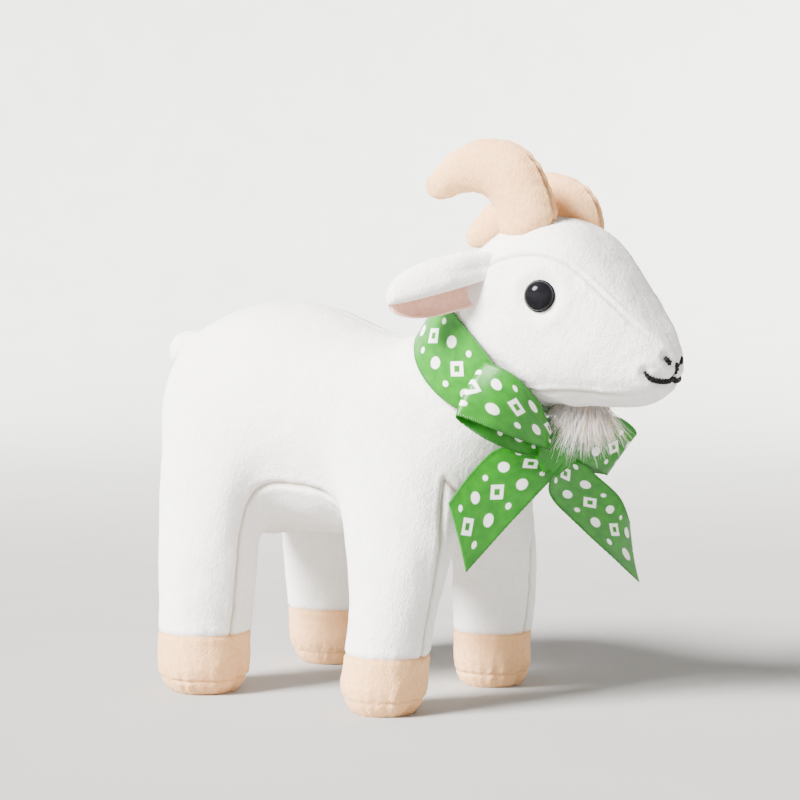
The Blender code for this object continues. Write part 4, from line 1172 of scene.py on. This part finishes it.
def make_tail(body_tree):
    skin = Surface(tail_cage(), 4)
    amount = skin.sew("left", "right", *TAIL_SEAM)
    amount += 0.25 * ripple(skin.points, 6.0) + 0.10 * ripple(skin.points, 1.8)
    amount -= 0.6 * bell(signed_depth(skin.points, body_tree), 1.0)
    skin.push(amount)
    skin.measure()
    root = place(*TAIL_ROOT)
    bend = ("root", "tail", root, root + heading(*TAIL_TIP_WAY) * 4 * MM)
    for half in ("left", "right"):
        panel(skin, half, "tail_%s_half" % half, "white_plush", bend)
    filling("tail", "tail_stuffing", tail_cage(), 2, 1.5, bend)


# ---------------------------------------------------------------- the beard

BEARD_ROOTS = (4.2, 7.5)      # half width and half length of the patch that the hair grows from
BEARD_MIDDLE = (0.0, 80.0, 86.0)
BEARD_STRANDS = 1500
BEARD_CLUMPS = 26
BEARD_LENGTHS = (5.5, 13.5)
BEARD_RADII = (0.05, 0.09)
BEARD_SAG = 1.5
BEARD_CURL = 3.4
BEARD_STEPS = 9
BEARD_SIDES = 3
BEARD_SEED = 7
FRONT_TINTS = (0.28, 0.34, 0.38)        # shares of the three tints at the tuft's front, and behind it
BACK_TINTS = (0.5, 0.34, 0.16)


def make_beard(head_tree):
    """A tuft of loose hair under the chin: strands in clumps that fan out, most of them falling back."""
    random = np.random.default_rng(BEARD_SEED)
    verts, faces, tints = [], [], []
    clump_ways = random.normal(0.0, 1.0, (BEARD_CLUMPS, 3))
    for strand in range(BEARD_STRANDS):
        clump = clump_ways[strand % BEARD_CLUMPS]
        spread = np.sqrt(random.uniform()) * 0.98
        turn = random.uniform(0.0, 2 * pi)
        x = BEARD_ROOTS[0] * spread * cos(turn)
        forward = BEARD_MIDDLE[1] + BEARD_ROOTS[1] * spread * sin(turn)
        start = head_tree.find_nearest(place(x, forward, BEARD_MIDDLE[2] - 3.0))[0] + UP_WAY * 0.8 * MM
        front = (forward - BEARD_MIDDLE[1]) / BEARD_ROOTS[1]
        length = random.uniform(*BEARD_LENGTHS) * (1.0 - 0.25 * abs(front))
        way = Vector((0.35 * x / BEARD_ROOTS[0] + 0.16 * clump[0], -(0.62 * front - 0.18 + 0.2 * clump[1]),
                      -1.0 + 0.1 * clump[2])).normalized()
        curl = Vector((0.5 * clump[1], 0.5 * clump[2], 0.0)) + Vector(random.normal(0.0, 0.55, 3))
        across = way.cross(Vector((0.3, 1.0, 0.1))).normalized()
        other = way.cross(across)
        radius = random.uniform(*BEARD_RADII)
        strand_faces = tube_faces(len(verts), BEARD_STEPS, BEARD_SIDES)
        for step in range(BEARD_STEPS):
            share = step / (BEARD_STEPS - 1)
            bend = curl * share ** 1.6 * BEARD_CURL - UP_WAY * share ** 2 * BEARD_SAG
            middle = start + (way * length * share + bend) * MM
            thin = radius * (1.0 - 0.75 * share ** 2)
            for side in range(BEARD_SIDES):
                angle = 2 * pi * side / BEARD_SIDES
                verts.append(middle + (across * cos(angle) + other * sin(angle)) * thin * MM)
        faces += strand_faces
        tint = random.choice(len(HAIR_TINTS), p=BACK_TINTS if front < 0.3 else FRONT_TINTS)
        tints += [tint] * len(strand_faces)
    mesh = new_mesh("beard", verts, faces)
    for tint in HAIR_TINTS:
        mesh.materials.append(tint)
    mesh.polygons.foreach_set("material_index", tints)
    mesh.update()
    bend = ("root", "head", place(0.0, 78.0, 73.0), place(0.0, 80.0, 84.0))
    finish_piece("beard_tuft", mesh, "beard_hair", bend, "beard")


# ---------------------------------------------------------------- the ribbon

ROW_STEP = 0.45               # length of ribbon between two rows of points
LANES = 22
TOOTH_PITCH = 1.35            # the woven edge's little teeth
TOOTH_DEPTH = 0.16
CRUMPLE_PITCH = 9.0


def resample(upper, lower, closed):
    """Both edges again, with rows an even distance apart along the strip's middle, and those distances."""
    upper = np.array(upper)
    lower = np.array(lower)
    if closed:
        upper = np.vstack((upper, upper[:1]))
        lower = np.vstack((lower, lower[:1]))
    middle = 0.5 * (upper + lower)
    travelled = np.concatenate(([0.0], np.cumsum(np.linalg.norm(np.diff(middle, axis=0), axis=1))))
    rows = max(int(travelled[-1] / (ROW_STEP * MM)), 2)
    wanted = np.linspace(0.0, travelled[-1], rows + 1)
    if closed:
        wanted = wanted[:-1]
    again = [np.stack([np.interp(wanted, travelled, edge[:, axis]) for axis in range(3)], axis=1)
             for edge in (upper, lower)]
    return again[0], again[1], wanted


def ribbon_mesh(name, upper, lower, bow, crumple, closed=False):
    """A satin strip between two edges: thick, with a toothed woven edge, and its own lengths kept as UVs.

    bow is how far the strip arches across its width and crumple the height of its dents. Gives the mesh and
    the strip's length.
    """
    upper, lower, run = resample(upper, lower, closed)
    rows, columns = len(upper), LANES + 1
    along = np.roll(upper + lower, -1, axis=0) - np.roll(upper + lower, 1, axis=0)
    if not closed:
        along[0], along[-1] = along[1], along[-2]
    across = lower - upper
    normals = np.cross(along, across)
    normals /= np.maximum(np.linalg.norm(normals, axis=1), 1e-12)[:, None]
    ways = across / np.linalg.norm(across, axis=1)[:, None]
    tooth = 1.0 - np.abs(2.0 * (run / MM / TOOTH_PITCH % 1.0) - 1.0)
    reach = (tooth * TOOTH_DEPTH * MM)[:, None]
    upper = upper - ways * reach
    lower = lower + ways * reach
    swing = np.cos(np.linspace(0.0, pi, columns))
    shares = 0.5 - 0.5 * swing * (0.85 + 0.15 * np.abs(swing))
    layers = []
    for side in (1.0, -1.0):
        for share in shares:
            edge = abs(2.0 * share - 1.0)
            half = 0.5 * RIBBON_THICKNESS * (1.0 + 0.35 * (edge > 0.9)) * (0.35 if edge > 0.999 else 1.0)
            arch = bow * (1.0 - edge ** 2)
            layers.append(upper + (lower - upper) * share + normals * ((side * half + arch) * MM))
    points = np.array(layers).reshape(2, columns, rows, 3).transpose(0, 2, 1, 3).reshape(-1, 3)
    dents = crumple * ripple(points, CRUMPLE_PITCH)
    points += np.tile(np.repeat(normals, columns, axis=0), (2, 1)) * (dents * MM)[:, None]
    mesh = new_mesh(name, points, sheet_faces(rows, columns, closed))
    face_outward(mesh)
    loops = read(mesh.loops, "vertex_index", 1, np.int32)
    row_of, column_of = (loops % (rows * columns)) // columns, loops % columns
    places = np.stack((run[row_of] / MM + PRINT_START, shares[column_of] * RIBBON_WIDTH), axis=-1)
    if closed:
        of_face = row_of.reshape(-1, 4)
        wraps = (of_face.max(axis=1) == rows - 1) & (of_face.min(axis=1) == 0)
        places[np.repeat(wraps, 4) & (row_of == 0), 0] = run[-1] / MM + ROW_STEP + PRINT_START
    mesh.uv_layers.new(name="ribbon").data.foreach_set("uv", places.astype(np.float32).ravel())
    return mesh, run[-1] / MM


def tail_bend(name, pairs):
    """The two bodies and the span of a hanging end's turn at the knot, over its first few millimetres."""
    first, second = ((place(*high) + place(*low)) / 2 for high, low in pairs[:2])
    way = (second - first).normalized()
    return ("root", name, first - way * 1.0 * MM, first + way * 3.0 * MM)


# The bow's parts: where each lies, how it is held and on what, how far it arches and how crumpled it is.
BOW = {
    "loop_right": (RIBBON_LOOP_RIGHT, "folded", "satin_neck_band", 1.0, 0.12),
    "loop_left": (RIBBON_LOOP_LEFT, "folded", "satin_knot", 0.0, 0.12),
    "tail_right": (RIBBON_TAIL_RIGHT, "hung", "satin_knot", 0.5, 0.15),
    "tail_left": (RIBBON_TAIL_LEFT, "hung", "satin_knot", 0.5, 0.15),
}


def make_bow():
    for part, (pairs, held, rests_on, bow, crumple) in BOW.items():
        node = "ribbon_" + part
        edges = [smooth_row([place(*pair[edge]) for pair in pairs], 24) for edge in (0, 1)]
        mesh, length = ribbon_mesh("satin_" + part, *edges, bow, crumple)
        body = tail_bend(node, pairs) if held == "hung" else "root"
        piece = finish_piece("satin_" + part, mesh, "green_satin", body, node)


BAND_STEPS = 144
BAND_LIFT = 0.45              # how far the band's middle lies over the cloth


def make_neck_band(trees):
    """The ribbon round the neck, lying on the cloth and narrowed at the throat and the nape."""
    rows = ([], [])
    for step in range(BAND_STEPS):
        angle = 2 * pi * (step + 0.5) / BAND_STEPS
        out = THROAT_WAY * cos(angle) + X_WAY * sin(angle)
        spread = 1.0 - BAND_GATHER * max(0.0, cos(angle)) ** 2
        nape = 1.0 - BAND_NAPE_GATHER * max(0.0, -cos(angle)) ** 2
        for edge, row in ((0.5, rows[0]), (-0.5 * nape, rows[1])):
            centre = NECK_JOINT + NECK_LINE * edge * spread * RIBBON_WIDTH * MM
            reach = 0.0
            for shift in (-3.0, 0.0, 3.0):
                start = centre + NECK_LINE * shift * MM + out * 45 * MM
                for tree in trees:
                    hit = tree.ray_cast(start, -out)[0]
                    if hit:
                        reach = max(reach, (hit - centre).dot(out))
            row.append((centre, out, reach))
    edges = []
    for row in rows:
        reaches = np.array([reach for centre, out, reach in row])
        for _ in range(12):
            reaches = 0.5 * reaches + 0.25 * (np.roll(reaches, 1) + np.roll(reaches, -1))
        edges.append([centre + out * (reach + BAND_LIFT * MM)
                      for (centre, out, _), reach in zip(row, reaches)])
    mesh, length = ribbon_mesh("band", *edges, 0.0, 0.10, closed=True)
    bend = ("root", "head", NECK_JOINT - NECK_LINE * 8 * MM, NECK_JOINT + NECK_LINE * 11 * MM)
    piece = finish_piece("satin_neck_band", mesh, "green_satin", bend, "ribbon_neck_band")


PLEATS = ((0.055, 9.0, 1.5), (0.03, 23.0, -2.0))     # height, and turns across and along the knot


def make_knot():
    """The knot: a rounded pillow of ribbon with pleats that run over it from top to bottom."""
    builder = bmesh.new()
    bmesh.ops.create_cube(builder, size=2.0)
    bmesh.ops.subdivide_edges(builder, edges=builder.edges, cuts=23, use_grid_fill=True)
    axes = Matrix((X_WAY, THROAT_WAY, NECK_LINE)).transposed()
    centre = place(*KNOT_CENTRE)
    for vertex in builder.verts:
        flat = vertex.co.copy()
        pleat = sum(height * sin(across * flat.x + along * flat.z) for height, across, along in PLEATS)
        rounded = flat.lerp(flat.normalized() * 1.15, 0.62) * (1.0 + pleat)
        vertex.co = centre + axes @ Vector([value * size * MM for value, size in zip(rounded, KNOT_SIZE)])
    mesh = bpy.data.meshes.new("knot")
    builder.to_mesh(mesh)
    builder.free()
    shown = mesh.uv_layers.new(name="ribbon")
    for loop in mesh.loops:
        away = axes.transposed() @ (mesh.vertices[loop.vertex_index].co - centre)
        shown.data[loop.index].uv = (away.z / MM * 0.1 + 9.1, away.x / MM + RIBBON_MIDDLE)
    finish_piece("satin_knot", mesh, "green_satin", "root", "ribbon_knot")


# ---------------------------------------------------------------- light, floor and camera

# Here lengths are metres, and an azimuth is degrees round from the world's x.
FLOOR_REACH = 1.9
WALL_CURVE = 0.7
WALL_TOP = 1.1
FLOOR_STEPS = 96
BACKDROP_AZIMUTH = 36.1       # where the wall behind the goat is, as the camera sees it
SUN_WAY = (0.72, -0.33, -0.62)
WALL_AZIMUTHS = (125.0, 175.0, 225.0)   # the walls that neither the sun nor the backdrop's lights reach


def add_lamp(name, lamp, energy, location, way):
    lamp.energy = energy
    holder = bpy.data.objects.new(name, lamp)
    holder.location = location
    holder.rotation_euler = way.to_track_quat("-Z", "Y").to_euler()
    bpy.context.scene.collection.objects.link(holder)


def add_area(name, energy, location, way):
    lamp = bpy.data.lights.new(name, "AREA")
    lamp.size = 1.0
    add_lamp(name, lamp, energy, location, way)


def level_way(azimuth):
    return Vector((cos(radians(azimuth)), sin(radians(azimuth)), 0.0))


def make_backdrop():
    """A pale round floor that curves up into a low wall."""
    profile = [(0.6, 0.0), (1.2, 0.0), (FLOOR_REACH, 0.0)]
    profile += [(FLOOR_REACH + WALL_CURVE * sin(radians(a)), WALL_CURVE - WALL_CURVE * cos(radians(a)))
                for a in range(10, 91, 10)]
    profile.append((FLOOR_REACH + WALL_CURVE, WALL_TOP))
    steps = FLOOR_STEPS
    verts = [(reach * cos(2 * pi * step / steps), reach * sin(2 * pi * step / steps), up)
             for reach, up in profile for step in range(steps)]
    faces = [(row * steps + step, (row + 1) * steps + step,
              (row + 1) * steps + (step + 1) % steps, row * steps + (step + 1) % steps)
             for row in range(len(profile) - 1) for step in range(steps)]
    faces.append(tuple(range(steps)))
    sheet = bpy.data.meshes.new("backdrop")
    sheet.from_pydata(verts, [], faces)
    sheet.shade_smooth()
    sheet.materials.append(grained_material(
        "paper", colour(0.33, 0.326, 0.318), colour(0.35, 0.346, 0.338),
        (20.0, 4.0), (0.3, 0.1), Roughness=0.9))
    backdrop = bpy.data.objects.new("backdrop", sheet)
    bpy.context.scene.collection.objects.link(backdrop)


def make_lights():
    """One broad key from the upper left, a soft warm sky, and lamps that keep the wall pale all round."""
    world = bpy.data.worlds.new("studio")
    world.use_nodes = True
    sky = world.node_tree.nodes["Background"].inputs
    sky["Color"].default_value = (1.0, 0.84, 0.66, 1.0)
    sky["Strength"].default_value = 0.11
    bpy.context.scene.world = world
    sun = bpy.data.lights.new("key", "SUN")
    sun.angle = radians(22.0)
    sun.color = (1.0, 0.985, 0.96)
    add_lamp("key", sun, 23.0, Vector(), Vector(SUN_WAY))
    away = level_way(BACKDROP_AZIMUTH)
    side = UP_WAY.cross(away)
    for number, width in enumerate((-1.5, 1.5)):
        add_area("backdrop_light_%d" % number, 230.0, away * 1.2 + side * width + UP_WAY,
                 away * 1.3 - side * 0.6 * width)
    for number, azimuth in enumerate(WALL_AZIMUTHS):
        outward = level_way(azimuth)
        add_area("wall_light_%d" % number, 80.0, outward * 1.3 + UP_WAY * 0.9, outward)


CAMERA_TARGET = (8.3, 11.0, 86.0)       # a place on the goat, in millimetres
CAMERA_DISTANCE = 600.0                 # millimetres
CAMERA_AZIMUTH = -53.9                  # degrees round from straight in front, towards the goat's right
CAMERA_ELEVATION = 2.44
CAMERA_LENS = 90.0


def make_camera():
    camera = bpy.data.cameras.new("camera")
    camera.lens = CAMERA_LENS
    camera.sensor_width = 36.0
    camera.clip_start = 0.01
    viewer = bpy.data.objects.new("camera", camera)
    azimuth, elevation = radians(CAMERA_AZIMUTH), radians(CAMERA_ELEVATION)
    back = Vector((sin(azimuth) * cos(elevation), -cos(azimuth) * cos(elevation), sin(elevation)))
    viewer.location = place(*CAMERA_TARGET) + back * CAMERA_DISTANCE * MM
    viewer.rotation_euler = (-back).to_track_quat("-Z", "Y").to_euler()
    bpy.context.scene.collection.objects.link(viewer)
    bpy.context.scene.camera = viewer


make_camera()
make_backdrop()
make_lights()
for node_name in ("eye_washer_left", "eye_washer_right"):
    frame["nodes"][node_name].material_slots[0].material = MATERIALS["clear_washer"]
BODY = shape_body()
HEAD = shape_head()
BODY_TREE = BODY.tree()
HEAD_TREE = HEAD.tree()
make_body(BODY)
make_head(HEAD)
make_stitches(HEAD)
make_eyes(HEAD)
make_horns(HEAD_TREE)
make_ears()
make_tail(BODY_TREE)
make_beard(HEAD_TREE)
make_neck_band((BODY_TREE, HEAD_TREE))
make_knot()
make_bow()
